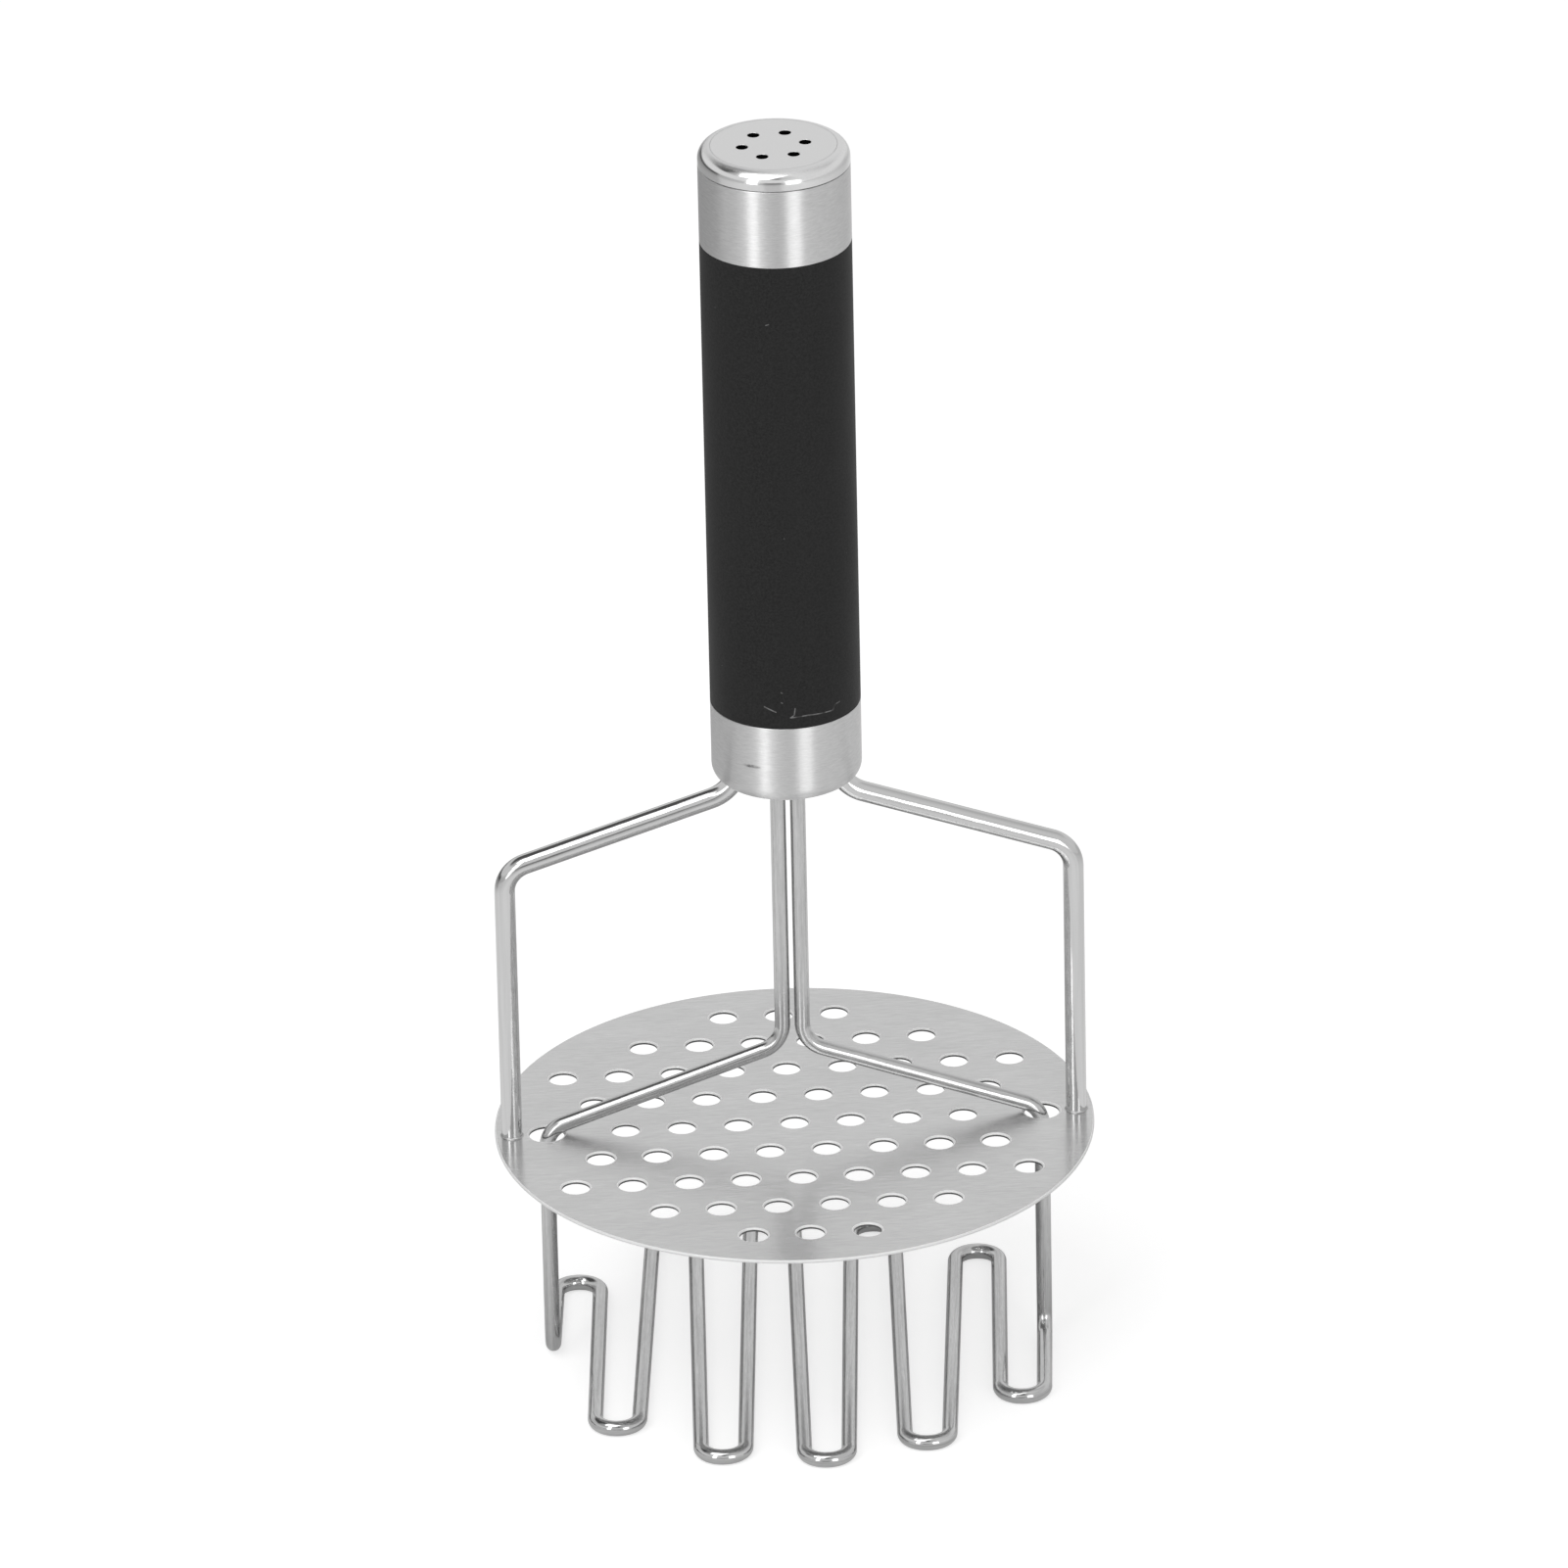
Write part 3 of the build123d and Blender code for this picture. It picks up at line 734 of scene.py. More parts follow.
def wire_tree(values):
    """Bends a line of straight runs by each corner's own radius and sweeps a round section along
    it. Each vertex keeps its place on the straight wire: across as X and Y, and along as Z."""
    tree, given = new_tree("Bent wire", values)
    line = add(tree, "GeometryNodeMeshToCurve", {"Mesh": given["Geometry"]}).outputs[0]
    bend = recalled(tree, "bend_radius")
    inputs = {"Curve": line, "Count": given["Bend Steps"], "Radius": bend, "Limit Radius": False}
    path = add(tree, "GeometryNodeFilletCurve", inputs, mode="POLY").outputs[0]
    along = add(tree, "GeometryNodeCaptureAttribute", {"Geometry": path}, domain="POINT")
    along.capture_items.new("FLOAT", "along")
    tree.links.new(add(tree, "GeometryNodeSplineParameter").outputs["Length"], along.inputs[1])
    section = result(tree, "CIRCLE", given["Section Segments"], given["Wire Radius"])
    across = add(tree, "GeometryNodeCaptureAttribute", {"Geometry": section}, domain="POINT")
    across.capture_items.new("VECTOR", "across")
    tree.links.new(result(tree, "POSITION"), across.inputs[1])
    inputs = {"Curve": along.outputs[0], "Profile Curve": across.outputs[0], "Fill Caps": True}
    wire = add(tree, "GeometryNodeCurveToMesh", inputs).outputs[0]
    split = result(tree, "SPLIT", across.outputs[1])
    place = result(tree, "COMBINE", split[0], split[1], along.outputs[1])
    placed = stored(tree, wire, "wire_place", place, "FLOAT_VECTOR")
    close_tree(tree, placed, given["Finish"])
    return tree


def bent_wire(name, corners, wire_radius, material):
    """A round wire through (place, bend radius) corners, as a plain mesh object."""
    sizes = bpy.context.scene.masher.wire
    line = bpy.data.meshes.new(name + "_line")
    line.from_pydata([place for place, _ in corners], [(n, n + 1) for n in range(len(corners) - 1)], [])
    bend = line.attributes.new("bend_radius", "FLOAT", "POINT")
    for number, (_, radius) in enumerate(corners):
        bend.data[number].value = radius
    values = {
        "Wire Radius": wire_radius,
        "Bend Steps": sizes.bend_steps,
        "Section Segments": sizes.section_segments,
        "Finish": material,
    }
    tree = bpy.data.node_groups.get("Bent wire") or wire_tree(values)
    wire = grown(name, line, tree, values)
    smooth(wire.data)
    return wire


def plate_radius():
    """Radius of the perforated plate."""
    return high("perforated_plate").y


def frame_wire_corners(side):
    """Corners of a frame wire, from its root in the handle down to the plate."""
    sizes = bpy.context.scene.masher.wire
    post_x = plate_radius() - sizes.post_margin
    neck_z = low("lower_ferrule").z - sizes.frame_neck
    elbow_z = neck_z - (post_x - sizes.root_spacing) * math.tan(sizes.frame_arm_angle)
    root_z = high("frame_wire_left").z
    return [
        ((side * sizes.root_spacing, 0, root_z), 0.0),
        ((side * sizes.root_spacing, 0, neck_z), sizes.frame_root_bend),
        ((side * post_x, 0, elbow_z), sizes.frame_elbow_bend),
        ((side * post_x, 0, high("perforated_plate").z), 0.0),
    ]


def grid_wire_corners():
    """Corners of the grid wire: pair, arm, leg, serpentine, leg, arm and pair."""
    sizes = bpy.context.scene.masher.wire
    plate = bpy.context.scene.masher.plate
    plate_z = high("perforated_plate").z
    leg_x = plate_radius() - plate.leg_margin
    foot_z = low("masher_wire").z + sizes.grid_radius
    across = sizes.shoulder_bend - plate.leg_hole_radius
    inside = sizes.shoulder_bend - sizes.grid_radius - sizes.shoulder_gap
    bend_centre_z = plate_z - math.sqrt(inside**2 - across**2)
    half_turn = (math.pi / 2 - sizes.grid_arm_angle) / 2
    shoulder_z = bend_centre_z + sizes.shoulder_bend * math.tan(half_turn)
    hub_z = shoulder_z + (leg_x - sizes.pair_spacing) * math.tan(sizes.grid_arm_angle)
    left = [
        ((-sizes.pair_spacing, 0, high("masher_wire").z), 0.0),
        ((-sizes.pair_spacing, 0, hub_z), sizes.pair_bend),
        ((-leg_x, 0, shoulder_z), sizes.shoulder_bend),
        ((-leg_x, 0, foot_z), sizes.foot_bend),
    ]
    right = [((-x, y, z), radius) for (x, y, z), radius in reversed(left)]
    middle = (sizes.bends - 1) / 2
    pitch = (leg_x - sizes.grid_side_gap - sizes.bend_half_width - sizes.bend_offset) / middle
    circle = plate_radius() - sizes.grid_margin
    turn_radius_share = 0.98
    grid = []
    for number in range(sizes.bends):
        for side in (1, -1):
            x = (number - middle) * pitch - side * sizes.bend_offset
            y = side * math.sqrt(circle**2 - x**2)
            for edge in (-sizes.bend_half_width, sizes.bend_half_width):
                grid.append(((x + edge, y, foot_z), sizes.bend_half_width * turn_radius_share))
    return left + grid + right


# Punched sheets


# Points of a punched sheet that are nearer than this become one
MERGE_DISTANCE = 0.004 * MM


def punched_tree(name, values, pattern):
    """A flat round sheet with a hole wall at each point of a pattern, and a rim or shell round it."""
    tree, given = new_tree(name, values)
    points = pattern(tree, given)
    scale = recalled(tree, "hole_scale")
    wider = result(tree, "COMBINE", scale, scale, 1.0)

    def holed_face(mouth, height, flip):
        """The sheet's upper or lower face."""
        radius = result(tree, "ADD", given["Hole Radius"], mouth)
        hole = result(tree, "CIRCLE", given["Hole Segments"], radius)
        holes = result(tree, "REAL", result(tree, "COPIES", points, hole, wider))
        edge = result(tree, "CIRCLE", given["Sheet Segments"], given["Sheet Radius"])
        outlines = result(tree, "JOIN", [holes, edge])
        face = add(tree, "GeometryNodeFillCurve", {"Curve": outlines}, mode="TRIANGLES").outputs[0]
        if flip:
            face = add(tree, "GeometryNodeFlipFaces", {"Mesh": face}).outputs[0]
        lift = result(tree, "COMBINE", 0.0, 0.0, height)
        return add(tree, "GeometryNodeTransform", {"Geometry": face, "Translation": lift}).outputs[0]

    top = holed_face(given["Hole Mouth"], given["Top Height"], False)
    bottom = holed_face(0.0, given["Bottom Height"], True)
    wall = add(tree, "GeometryNodeObjectInfo", {"Object": given["Hole Wall"]}).outputs["Geometry"]
    walls = result(tree, "REAL", result(tree, "COPIES", points, wall, wider))
    parts = result(tree, "JOIN", [walls, given["Geometry"], top, bottom])
    inputs = {"Geometry": parts, "Distance": MERGE_DISTANCE}
    merged = add(tree, "GeometryNodeMergeByDistance", inputs).outputs[0]
    close_tree(tree, merged, given["Finish"])
    return tree


def staggered_pattern(tree, given):
    """Staggered rows, kept where they are on the plate and clear of the leg holes, and the leg holes."""
    index = result(tree, "INDEX")
    rows_aside, columns_aside = given["Rows Each Side"], given["Columns Each Side"]
    rows = result(tree, "ADD", result(tree, "MULTIPLY", rows_aside, 2.0), 1.0)
    columns = result(tree, "ADD", result(tree, "MULTIPLY", columns_aside, 2.0), 1.0)
    row = result(tree, "FLOOR", result(tree, "DIVIDE", index, columns))
    row = result(tree, "SUBTRACT", row, rows_aside)
    column = result(tree, "SUBTRACT", result(tree, "MODULO", index, columns), columns_aside)
    half_pitch = result(tree, "DIVIDE", given["Pitch X"], 2.0)
    x = result(tree, "MULTIPLY", column, half_pitch)
    y = result(tree, "MULTIPLY", row, given["Pitch Y"])
    number = result(tree, "MULTIPLY", rows, columns)
    points = result(tree, "POINTS", number, result(tree, "COMBINE", x, y))
    axes = result(tree, "SPLIT", result(tree, "POSITION"))
    across = result(tree, "DIVIDE", axes[0], half_pitch)
    steps = result(tree, "ADD", across, result(tree, "DIVIDE", axes[1], given["Pitch Y"]))
    odd = result(tree, "GREATER_THAN", result(tree, "PINGPONG", steps, 1.0), 0.5)
    out = result(tree, "GREATER_THAN", distance_from_axis(tree, axes), given["Reach"])
    from_leg = result(tree, "SUBTRACT", result(tree, "ABSOLUTE", axes[0]), given["Leg X"])
    leg_distance = distance_from_axis(tree, (from_leg, axes[1]))
    near_leg = result(tree, "LESS_THAN", leg_distance, given["Leg Clearance"])
    unwanted = result(tree, "MAXIMUM", result(tree, "MAXIMUM", odd, out), near_leg)
    inputs = {"Geometry": points, "Selection": unwanted}
    kept = add(tree, "GeometryNodeDeleteGeometry", inputs, domain="POINT").outputs[0]
    side = result(tree, "SUBTRACT", result(tree, "MULTIPLY", index, 2.0), 1.0)
    leg_place = result(tree, "COMBINE", result(tree, "MULTIPLY", side, given["Leg X"]))
    legs = result(tree, "POINTS", 2, leg_place)
    kept = stored(tree, kept, "hole_scale", 1.0, "FLOAT")
    legs = stored(tree, legs, "hole_scale", given["Leg Hole Scale"], "FLOAT")
    return result(tree, "JOIN", [kept, legs])


def ring_pattern(tree, given):
    """Points spaced evenly on a ring."""
    index = result(tree, "INDEX")
    step = result(tree, "DIVIDE", 2 * math.pi, given["Count"])
    turn = result(tree, "ADD", result(tree, "MULTIPLY", index, step), given["First Turn"])
    x = result(tree, "MULTIPLY", result(tree, "COSINE", turn), given["Ring Radius"])
    y = result(tree, "MULTIPLY", result(tree, "SINE", turn), given["Ring Radius"])
    points = result(tree, "POINTS", given["Count"], result(tree, "COMBINE", x, y))
    return stored(tree, points, "hole_scale", 1.0, "FLOAT")


def hole_wall(name, radius, mouth, segments, top, bottom, steps=6):
    """The wall of one punched hole, from its rounded mouth down."""
    outline = [(radius, bottom)]
    for number in range(steps + 1):
        turn = math.pi / 2 * number / steps
        outline.append((radius + mouth - mouth * math.cos(turn), top - mouth + mouth * math.sin(turn)))
    outline.reverse()
    mesh = turned(name, outline, segments, closed=False)
    # The wall below the mouth carries a painted shade
    mark_faces(mesh, "cut_wall", lambda face: face.center.z < top - mouth)
    # The rounded mouth carries a painted highlight
    mark_faces(mesh, "rounded_edge", lambda face: face.center.z > top - mouth)
    return show(name, mesh)


def punched(name, side, sheet, hole, pattern, values):
    """A punched sheet, joined to the mesh of its piece's side. The sheet is (radius, segments, top,
    bottom), and each hole is (radius, rounding of its mouth, segments)."""
    wall = hole_wall(name + "_hole_wall", *hole, *sheet[2:])
    values = {
        **dict(zip(("Sheet Radius", "Sheet Segments", "Top Height", "Bottom Height"), sheet)),
        **dict(zip(("Hole Radius", "Hole Mouth", "Hole Segments"), hole)),
        "Hole Wall": wall,
        **values,
    }
    piece = grown(name, side, punched_tree(name, values, pattern), values)
    bpy.data.objects.remove(wall)
    smooth(piece.data)
    flat_faces_stay_flat(piece.data)
    return piece


def mark_faces(mesh, name, wanted):
    """Marks the faces that a test picks, for a material to tell them apart."""
    marks = mesh.attributes.new(name, "FLOAT", "FACE")
    for face in mesh.polygons:
        marks.data[face.index].value = float(wanted(face))


def flat_faces_stay_flat(mesh):
    """Shades level faces flat, so that a hole's rounded edge doesn't tint them."""
    nearly_upright = 0.9999
    for face in mesh.polygons:
        if abs(face.normal.z) > nearly_upright:
            face.use_smooth = False


# Operators


class MASHER_OT_cap(bpy.types.Operator):
    """Stamped steel cap with a rounded rim and a ring of vents"""

    bl_idname = "masher.cap"
    bl_label = "Top cap"

    def execute(self, context):
        sizes = context.scene.masher.handle
        barrel = high("grip_sleeve").x
        top = high("top_cap").z
        bottom = low("top_cap").z
        seam = high("upper_ferrule").z + sizes.seam_gap
        skirt = barrel - sizes.wall - sizes.press_gap
        bore = skirt - sizes.wall
        flat = barrel - sizes.cap_round
        under = top - sizes.wall
        outside = [
            (flat, under, 0.0),
            (bore, under, sizes.cap_round - sizes.wall),
            (bore, bottom, 0.0),
            (skirt, bottom, 0.0),
            (skirt, seam, 0.0),
            (barrel, seam, sizes.edge_round),
            (barrel, top, sizes.cap_round),
            (flat, top, 0.0),
        ]
        points = [point for point in rounded_outline(outside) if point.x >= 0]
        shell = turned("cap_shell_side", points, sizes.segments, closed=False)
        sheet = (flat, sizes.segments, top, under)
        hole = (sizes.vent_radius, sizes.vent_mouth, sizes.vent_segments)
        finish = context.scene.masher.finish
        values = {
            "Finish": satin_cap_steel(finish, flat + sizes.satin_reach, sizes.satin_fade),
            "Count": sizes.vents,
            "First Turn": sizes.vent_turn,
            "Ring Radius": sizes.vent_ring,
        }
        cap = punched("cap_shell", shell, sheet, hole, ring_pattern, values)
        settle(cap, HANDLE_BODY, "cap_steel", "top_cap")
        return {"FINISHED"}


class MASHER_OT_ferrules(bpy.types.Operator):
    """Brushed steel bands at both ends of the grip, the lower one with holes for the wires"""

    bl_idname = "masher.ferrules"
    bl_label = "Ferrules"

    def execute(self, context):
        sizes = context.scene.masher.handle
        wires = context.scene.masher.wire
        steel = brushed_ferrule_steel(context.scene.masher.finish)
        barrel = high("grip_sleeve").x
        bore = barrel - sizes.wall
        edge = sizes.edge_round
        top, bottom = high("upper_ferrule").z, low("upper_ferrule").z
        band = rounded_outline(band_corners(bore, barrel, bottom, top, edge))
        upper = show("upper_ferrule_band", turned("upper_ferrule_band", band, sizes.segments), steel)
        settle(upper, HANDLE_BODY, "ferrule_steel", "upper_ferrule")
        top, bottom = high("lower_ferrule").z, low("lower_ferrule").z
        mouth = high("guide_bush").x - sizes.bush_flange + sizes.press_gap
        cup_outline = [
            (mouth, bottom, 0.0),
            (barrel, bottom, sizes.bottom_round),
            (barrel, top, edge),
            (bore, top, 0.0),
            (bore, bottom + sizes.wall, sizes.bottom_round - sizes.wall),
            (mouth, bottom + sizes.wall, 0.0),
        ]
        outline = rounded_outline(cup_outline)
        cup = show("cup_blank", turned("cup_blank", outline, sizes.segments), steel)
        cutters = []
        for side_name, side in SIDES.items():
            radius = wires.frame_radius + sizes.wire_hole_gap
            cutters.append(bent_wire("cutter_" + side_name, frame_wire_corners(side), radius, steel))
            cut = cup.modifiers.new("Wire hole", "BOOLEAN")
            cut.operation = "DIFFERENCE"
            cut.solver = "EXACT"
            cut.object = cutters[-1]
        made = plain_mesh(cup)
        for spent in (cup, *cutters):
            bpy.data.objects.remove(spent)
        smooth(made)
        lower = show("lower_ferrule_cup", made)
        settle(lower, HANDLE_BODY, "ferrule_steel", "lower_ferrule")
        return {"FINISHED"}


class MASHER_OT_grip(bpy.types.Operator):
    """Black soft-touch sleeve between the ferrules"""

    bl_idname = "masher.grip"
    bl_label = "Grip"

    def execute(self, context):
        sizes = context.scene.masher.handle
        barrel = high("grip_sleeve").x
        top, bottom = high("grip_sleeve").z, low("grip_sleeve").z
        edge = sizes.grip_edge_round
        outline = rounded_outline(band_corners(barrel - sizes.grip_wall, barrel, bottom, top, edge))
        coating = soft_touch_coating(context.scene.masher.finish)
        grip = show("grip_cover", turned("grip_cover", outline, sizes.segments), coating)
        settle(grip, HANDLE_BODY, "soft_touch_black", "grip_sleeve")
        return {"FINISHED"}


class MASHER_OT_frame_wires(bpy.types.Operator):
    """Two polished frame wires from the handle to the plate, each with its weld"""

    bl_idname = "masher.frame_wires"
    bl_label = "Frame wires"

    def execute(self, context):
        sizes = context.scene.masher.wire
        steel = polished_frame_steel(context.scene.masher.finish)
        weld = weld_steel(context.scene.masher.finish)
        for side_name, side in SIDES.items():
            corners = frame_wire_corners(side)
            wire = bent_wire("frame_wire_bent_" + side_name, corners, sizes.frame_radius, steel)
            settle(wire, HANDLE_BODY, "frame_wire_steel", "frame_wire_" + side_name)
            bead = self.bead("weld_bead_" + side_name, sizes, corners[-1][0], weld)
            settle(bead, HANDLE_BODY, "frame_wire_steel")
        return {"FINISHED"}

    def bead(self, name, sizes, foot, material):
        """A small hollow-faced bead round a post's foot, a little uneven as a weld is."""
        segments, steps = 48, 6
        overlap, ripple_size, ripple_share = 0.1 * MM, 0.8 * MM, 0.2
        inner = sizes.frame_radius - overlap
        outline = [(inner, 0.0)]
        for count in range(steps + 1):
            turn = math.pi / 2 * count / steps
            radius = sizes.frame_radius + sizes.weld_width * (1 - math.sin(turn))
            outline.append((radius, sizes.weld_height * (1 - math.cos(turn))))
        outline.append((inner, sizes.weld_height))
        mesh = turned(name, outline, segments)
        for vertex in mesh.vertices:
            ripple = noise.noise(Vector(vertex.co) / ripple_size)
            vertex.co.z *= 1 + ripple_share * ripple
            vertex.co += Vector(foot)
        return show(name, mesh, material)


class MASHER_OT_plate(bpy.types.Operator):
    """Round steel plate with staggered punched holes and two larger leg holes"""

    bl_idname = "masher.plate"
    bl_label = "Perforated plate"

    def execute(self, context):
        sizes = context.scene.masher.plate
        radius = plate_radius()
        top, bottom = high("perforated_plate").z, low("perforated_plate").z
        flat = radius - sizes.rim_round
        corners = band_corners(flat, radius, bottom, top, sizes.rim_round)
        outline = rounded_outline(corners, support=0.0)[1:-1]
        rim = turned("plate_rim", outline, sizes.rim_segments, closed=False)
        # The rim carries the rounded edges' painted highlight
        mark_faces(rim, "rounded_edge", lambda face: True)
        sheet = (flat, sizes.rim_segments, top, bottom)
        hole = (sizes.hole_radius, sizes.hole_mouth, sizes.hole_segments)
        reach = radius - sizes.hole_margin
        values = {
            "Finish": satin_plate_steel(context.scene.masher.finish),
            "Pitch X": sizes.pitch_x,
            "Pitch Y": sizes.pitch_y,
            "Reach": reach,
            "Rows Each Side": math.floor(reach / sizes.pitch_y),
            "Columns Each Side": math.floor(2 * reach / sizes.pitch_x),
            "Leg X": radius - sizes.leg_margin,
            "Leg Clearance": sizes.hole_radius + sizes.leg_hole_radius + sizes.leg_hole_land,
            "Leg Hole Scale": sizes.leg_hole_radius / sizes.hole_radius,
        }
        plate = punched("punched_plate", rim, sheet, hole, staggered_pattern, values)
        settle(plate, HANDLE_BODY, "plate_steel", "perforated_plate")
        return {"FINISHED"}


class MASHER_OT_grid_wire(bpy.types.Operator):
    """The one length of wire that is pair, arms, legs and serpentine grid"""

    bl_idname = "masher.grid_wire"
    bl_label = "Grid wire"

    def execute(self, context):
        radius = context.scene.masher.wire.grid_radius
        steel = drawn_grid_steel(context.scene.masher.finish)
        wire = bent_wire("grid_wire_bent", grid_wire_corners(), radius, steel)
        settle(wire, GRID_BODY, "grid_wire_steel", "masher_wire")
        return {"FINISHED"}


class MASHER_OT_inner_pieces(bpy.types.Operator):
    """Finishes of the pieces inside the handle, and the spring as a piece of its own"""

    bl_idname = "masher.inner_pieces"
    bl_label = "Inner pieces"

    def execute(self, context):
        finish = context.scene.masher.finish
        black = moulded_plastic("moulded_black_abs", finish.black_plastic, 0.4 * MM, 0.5)
        slippery = moulded_plastic("moulded_black_acetal", finish.black_plastic, 0.6 * MM, 0.35)
        rubber = moulded_plastic("moulded_black_rubber", finish.rubber, 0.5 * MM, 0.75)
        block = turned_steel("turned_block_steel", finish.grid_wire, 0.3 * MM, 0.32)
        pin = turned_steel("ground_pin_steel", finish.ferrule, 0.5 * MM, 0.25)
        spring = turned_steel("drawn_spring_steel", finish.grid_wire, 0.8 * MM, 0.28)
        worn_by = {
            "cap_plug": black,
            "core_tube": black,
            "guide_bush": slippery,
            "plunger": slippery,
            "stop_buffer": rubber,
            "wire_block": block,
            "cross_pins": pin,
            "plunger_pins": pin,
            "lower_spring_washer": pin,
            "upper_spring_washer": pin,
        }
        for node, material in worn_by.items():
            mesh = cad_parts[node].data
            mesh.materials.clear()
            mesh.materials.append(material)
        self.coil(spring)
        return {"FINISHED"}

    def coil(self, material):
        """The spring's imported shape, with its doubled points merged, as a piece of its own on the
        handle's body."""
        mesh = bpy.data.meshes.new("return_spring_coil")
        builder = bmesh.new()
        builder.from_mesh(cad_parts["return_spring"].data)
        bmesh.ops.remove_doubles(builder, verts=builder.verts, dist=0.001 * MM)
        builder.to_mesh(mesh)
        builder.free()
        smooth(mesh)
        piece = show("return_spring_coil", mesh, material)
        settle(piece, HANDLE_BODY, "spring_steel", "return_spring")
        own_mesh(piece)


# Stage


# Brightness of the mirrored room at each heading, in degrees to the right of the camera
ROOM_LEVELS = (
    (-180, 0.74), (-172, 0.62), (-164, 0.4), (-156, 0.12), (-93, 0.1), (-86, 0.5), (-44, 0.7),
    (-17, 0.64), (-13, 0.26), (8, 0.26), (13, 0.66), (45, 0.92), (95, 0.8), (130, 0.65), (158, 0.88),
    (172, 0.8), (180, 0.74),
)
# Elevations, in degrees, between which the room changes into its low sky, out of it, and into its
# ceiling
LOW_SKY_FOOT = (6, 12)
LOW_SKY_TOP = (34, 40)
CEILING = (66, 80)
# Distances, in metres, between which the mirrored floor changes into the room
FAR_FLOOR = (0.25, 0.5)
# The mirrored shade: how far behind the masher its centre is, the share at which its length counts
# against its width, its inner and outer radius, and its level
SHADE_CENTRE = 0.12
SHADE_SQUEEZE = 0.55
SHADE_EDGE = (0.07, 0.13)
SHADE_LEVEL = 0.35
# Lamps, in metres. Each strip has its heading in degrees to the right of the camera, its width and
# height, and its share of the level. The overhead lamp has a heading and an elevation.
LAMP_DISTANCE = 1.4
STRIP_FOOT = 0.05
STRIPS = {"strip_left": (-32.5, 0.34, 1.6, 0.95), "strip_right": (28.0, 0.49, 0.7, 1.15)}
OVERHEAD_DIRECTION = (-35, 64)
OVERHEAD_AIM = 0.12
OVERHEAD_SIZE = (1.0, 1.0)


def heights(elevations):
    """How high a direction of length 1 points at each elevation."""
    return [math.sin(math.radians(degrees)) for degrees in elevations]


def studio_direction(azimuth, elevation):
    """The way from the masher to a place at an azimuth and an elevation."""
    flat = math.cos(elevation)
    return Vector((math.sin(azimuth) * flat, -math.cos(azimuth) * flat, math.sin(elevation)))


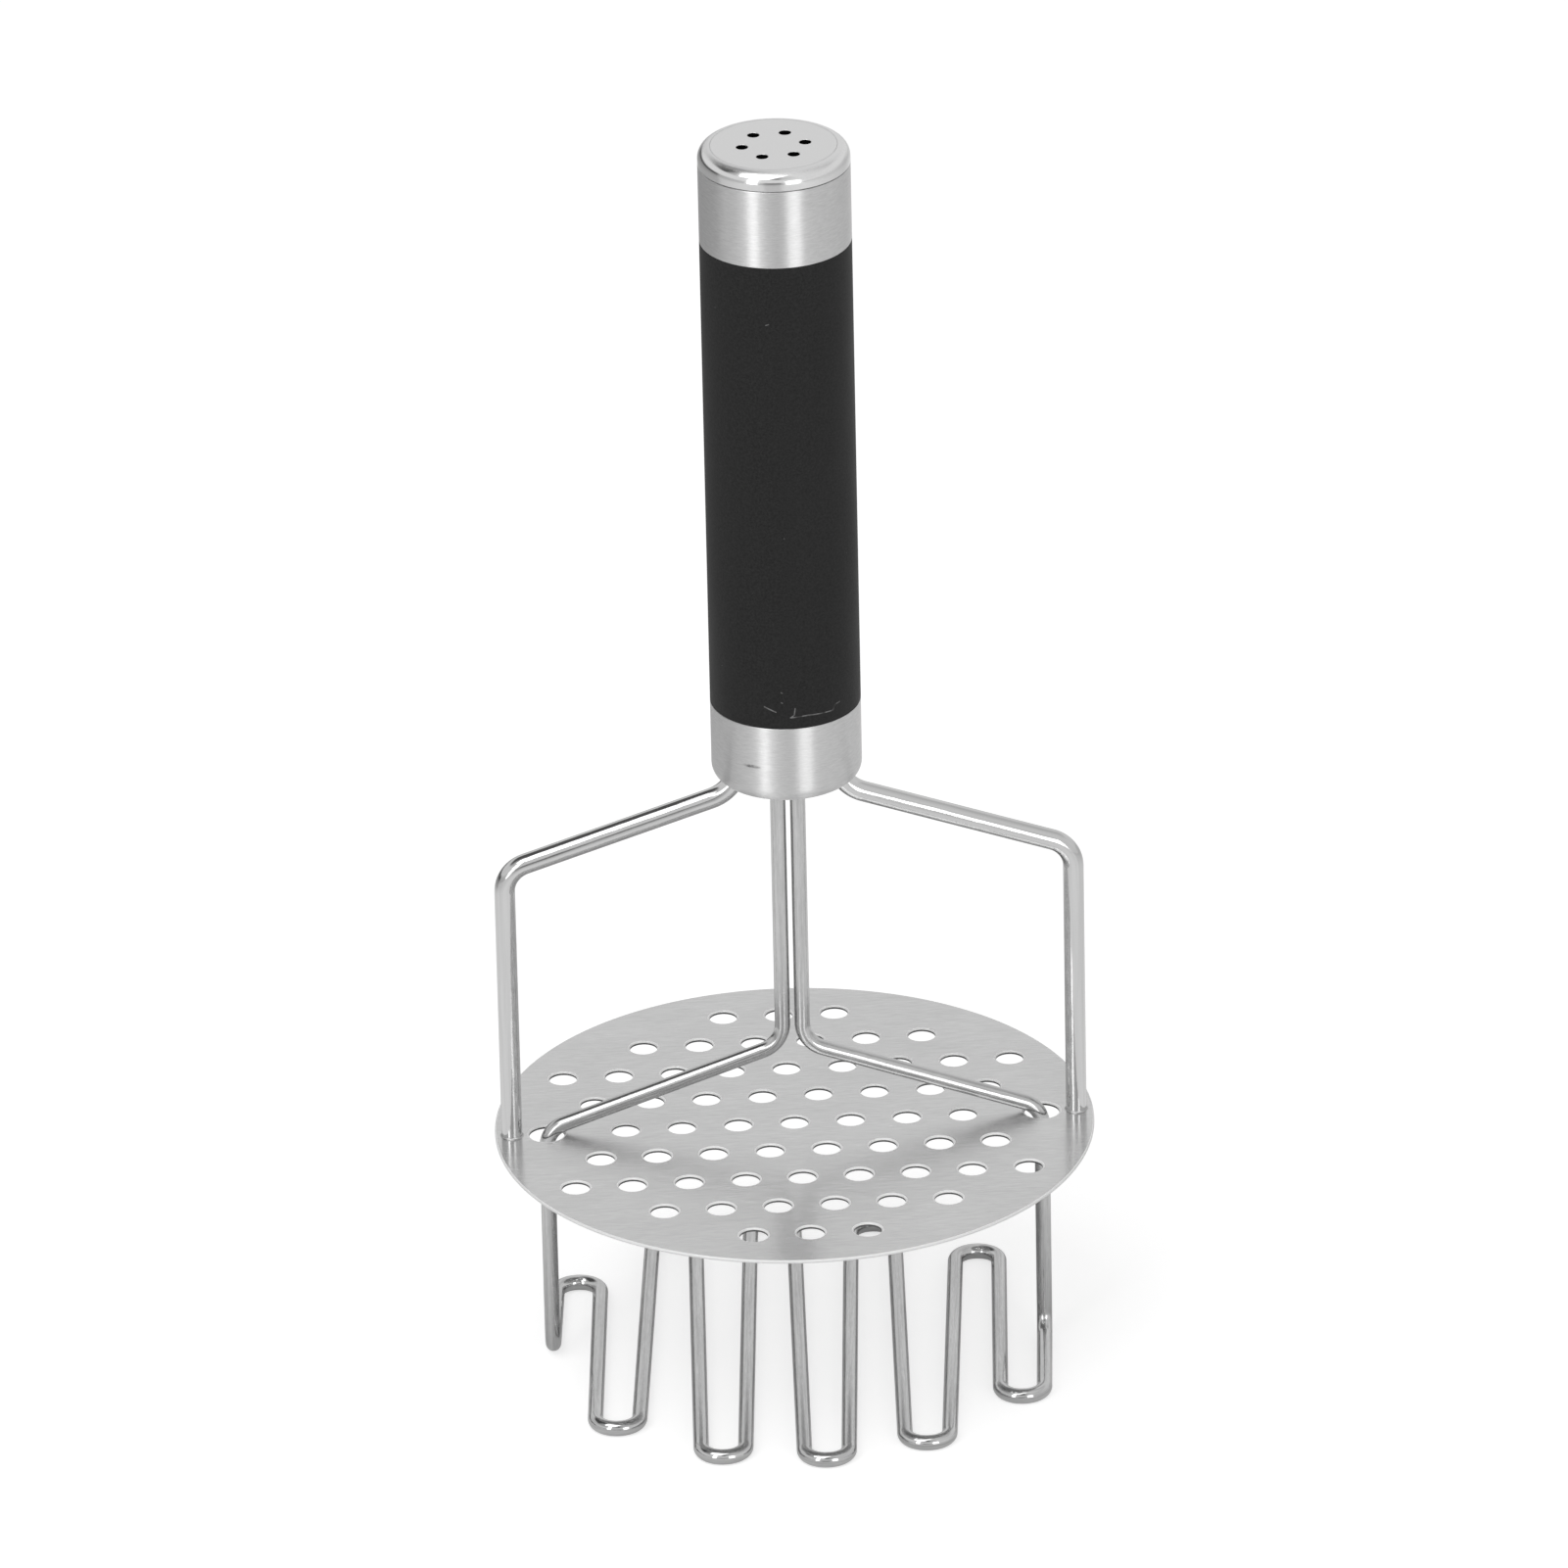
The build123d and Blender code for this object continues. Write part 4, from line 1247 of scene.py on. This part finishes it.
class MASHER_OT_stage(bpy.types.Operator):
    """Pale floor, soft lamps, white surroundings and the camera"""

    bl_idname = "masher.stage"
    bl_label = "Stage"

    def execute(self, context):
        studio = context.scene.masher.studio
        self.floor(studio)
        self.surroundings(context, studio)
        self.lamps(studio)
        self.camera(context, studio)
        context.scene.view_settings.view_transform = "Standard"
        return {"FINISHED"}

    def room(self, tree, axes, studio):
        """How bright the room is that metal mirrors, by heading."""
        turn = heading(tree, axes, studio.azimuth)
        place = result(tree, "ADD", result(tree, "DIVIDE", turn, 2 * math.pi), 0.5)
        ramp = add(tree, "ShaderNodeValToRGB", {0: place})
        stops = ramp.color_ramp.elements
        for number, (degrees, level) in enumerate(ROOM_LEVELS):
            position = degrees / 360 + 0.5
            stop = stops[0] if number == 0 else stops.new(position)
            stop.position = position
            stop.color = (level, level, level, 1.0)
        stops.remove(stops[-1])
        return result(tree, "CHANNELS", ramp.outputs[0])[0]

    def floor(self, studio):
        """A wide matt floor, seen as white where it is lit and a little darker in the shadow. Metal
        mirrors it dark in the shade under and behind the masher, and far off as bright as the room."""
        material, tree, place = new_material("matt_white_floor")
        matt = add(tree, "ShaderNodeBsdfDiffuse", {"Color": studio.floor})
        seen, mirrored = ray_kinds(tree)
        axes = result(tree, "SPLIT", place)
        far = result(tree, "SPREAD", distance_from_axis(tree, axes), *FAR_FLOOR, 0.0, 1.0)
        behind = result(tree, "SUBTRACT", axes[1], SHADE_CENTRE)
        behind = result(tree, "MULTIPLY", behind, SHADE_SQUEEZE)
        reach = distance_from_axis(tree, (axes[0], behind))
        shade = result(tree, "SPREAD", reach, *SHADE_EDGE, SHADE_LEVEL, 1.0)
        level = result(tree, "BLEND", far, 1.0, self.room(tree, axes, studio))
        level = result(tree, "MULTIPLY", shade, level)
        level = result(tree, "MULTIPLY", mirrored, level)
        reflected = result(tree, "MULTIPLY", level, studio.mirrored_lift)
        lift = result(tree, "ADD", result(tree, "MULTIPLY", seen, studio.floor_lift), reflected)
        glow = add(tree, "ShaderNodeEmission", {"Color": colour("#ffffff"), "Strength": lift})
        both = add(tree, "ShaderNodeAddShader", {0: matt.outputs[0], 1: glow.outputs[0]})
        add(tree, "ShaderNodeOutputMaterial", {"Surface": both.outputs[0]})
        side = studio.floor_size
        mesh = bpy.data.meshes.new("floor")
        corners = [(-side, -side, 0), (side, -side, 0), (side, side, 0), (-side, side, 0)]
        mesh.from_pydata(corners, [], [(0, 1, 2, 3)])
        show("floor", mesh, material)

    def surroundings(self, context, studio):
        """White where it is seen, an even fill where it lights, and a room where it is mirrored."""
        world = bpy.data.worlds.new("white_studio")
        world.use_nodes = True
        tree = world.node_tree
        tree.nodes.clear()
        seen, mirrored = ray_kinds(tree)
        direction = add(tree, "ShaderNodeTexCoord").outputs["Generated"]
        axes = result(tree, "SPLIT", direction)
        overhead = result(tree, "SPREAD", axes[2], *heights(CEILING), 0.0, 1.0)
        rising = result(tree, "SPREAD", axes[2], *heights(LOW_SKY_FOOT), 0.0, 1.0)
        falling = result(tree, "SPREAD", axes[2], *heights(LOW_SKY_TOP), 1.0, 0.0)
        low_share = result(tree, "MULTIPLY", rising, falling)
        level = result(tree, "BLEND", low_share, self.room(tree, axes, studio), studio.low_sky)
        level = result(tree, "BLEND", overhead, level, studio.ceiling)
        other = result(tree, "BLEND", mirrored, studio.fill, level)
        strength = result(tree, "BLEND", seen, other, 1.0)
        background = add(tree, "ShaderNodeBackground", {"Color": colour("#ffffff"), "Strength": strength})
        add(tree, "ShaderNodeOutputWorld", {"Surface": background.outputs[0]})
        context.scene.world = world

    def lamps(self, studio):
        """Two upright strips beside the camera and a wide lamp overhead."""
        for name, (turn, width, height, share) in STRIPS.items():
            place = studio_direction(studio.azimuth + math.radians(turn), 0.0) * LAMP_DISTANCE
            place.z = STRIP_FOOT + height / 2
            target = Vector((0, 0, place.z))
            self.lamp(name, place, target, (width, height), share * studio.strip_level)
        turn, rise = (math.radians(degrees) for degrees in OVERHEAD_DIRECTION)
        centre = Vector((0, 0, OVERHEAD_AIM))
        place = centre + studio_direction(studio.azimuth + turn, rise) * LAMP_DISTANCE
        self.lamp("overhead", place, centre, OVERHEAD_SIZE, studio.top_level)

    def lamp(self, name, place, target, size, level):
        """A rectangular lamp of an even brightness, which lights and is mirrored but isn't seen."""
        light = bpy.data.lights.new(name, "AREA")
        light.shape = "RECTANGLE"
        light.size, light.size_y = size
        light.energy = level * math.pi * size[0] * size[1]
        lamp = bpy.data.objects.new(name, light)
        lamp.location = place
        lamp.rotation_euler = (target - place).to_track_quat("-Z", "Y").to_euler()
        lamp.visible_camera = False
        bpy.context.scene.collection.objects.link(lamp)

    def camera(self, context, studio):
        """The camera of the photograph: a long lens, from above and a little to the left."""
        data = bpy.data.cameras.new("camera")
        data.sensor_width = studio.sensor
        data.lens = studio.focal_pixels / studio.picture * studio.sensor
        camera = bpy.data.objects.new("camera", data)
        away = studio_direction(studio.azimuth, studio.elevation) * studio.distance
        place = Vector(studio.aim) + away
        turn = Matrix.Rotation(studio.azimuth, 4, "Z")
        tilt = Matrix.Rotation(math.pi / 2 - studio.elevation, 4, "X")
        roll = Matrix.Rotation(studio.roll, 4, "Z")
        camera.matrix_world = Matrix.Translation(place) @ turn @ tilt @ roll
        context.scene.collection.objects.link(camera)
        context.scene.camera = camera


# Panel and start


class MASHER_PT_panel(bpy.types.Panel):
    """Lists the masher's pieces and its settings"""

    bl_idname = "MASHER_PT_panel"
    bl_label = "Potato masher"
    bl_space_type = "VIEW_3D"
    bl_region_type = "UI"
    bl_category = "Masher"

    def draw(self, context):
        for operator in OPERATORS:
            self.layout.operator(operator.bl_idname)
        for group in ("handle", "plate", "wire", "finish", "studio"):
            box = self.layout.box()
            box.label(text=group.capitalize())
            settings = getattr(context.scene.masher, group)
            for name in type(settings).__annotations__:
                box.prop(settings, name)


OPERATORS = (
    MASHER_OT_cap,
    MASHER_OT_ferrules,
    MASHER_OT_grip,
    MASHER_OT_frame_wires,
    MASHER_OT_plate,
    MASHER_OT_grid_wire,
    MASHER_OT_inner_pieces,
    MASHER_OT_stage,
)
GROUPS = (HandleSizes, PlateSizes, WireSizes, Finishes, StudioSettings, MasherSettings)
CLASSES = (*GROUPS, *OPERATORS, MASHER_PT_panel)


def register():
    for item in CLASSES:
        bpy.utils.register_class(item)
    bpy.types.Scene.masher = PointerProperty(type=MasherSettings)


def unregister():
    del bpy.types.Scene.masher
    for item in reversed(CLASSES):
        bpy.utils.unregister_class(item)


def main():
    register()
    for operator in OPERATORS:
        group, action = operator.bl_idname.split(".")
        getattr(getattr(bpy.ops, group), action)()


if __name__ == "__main__":
    main()
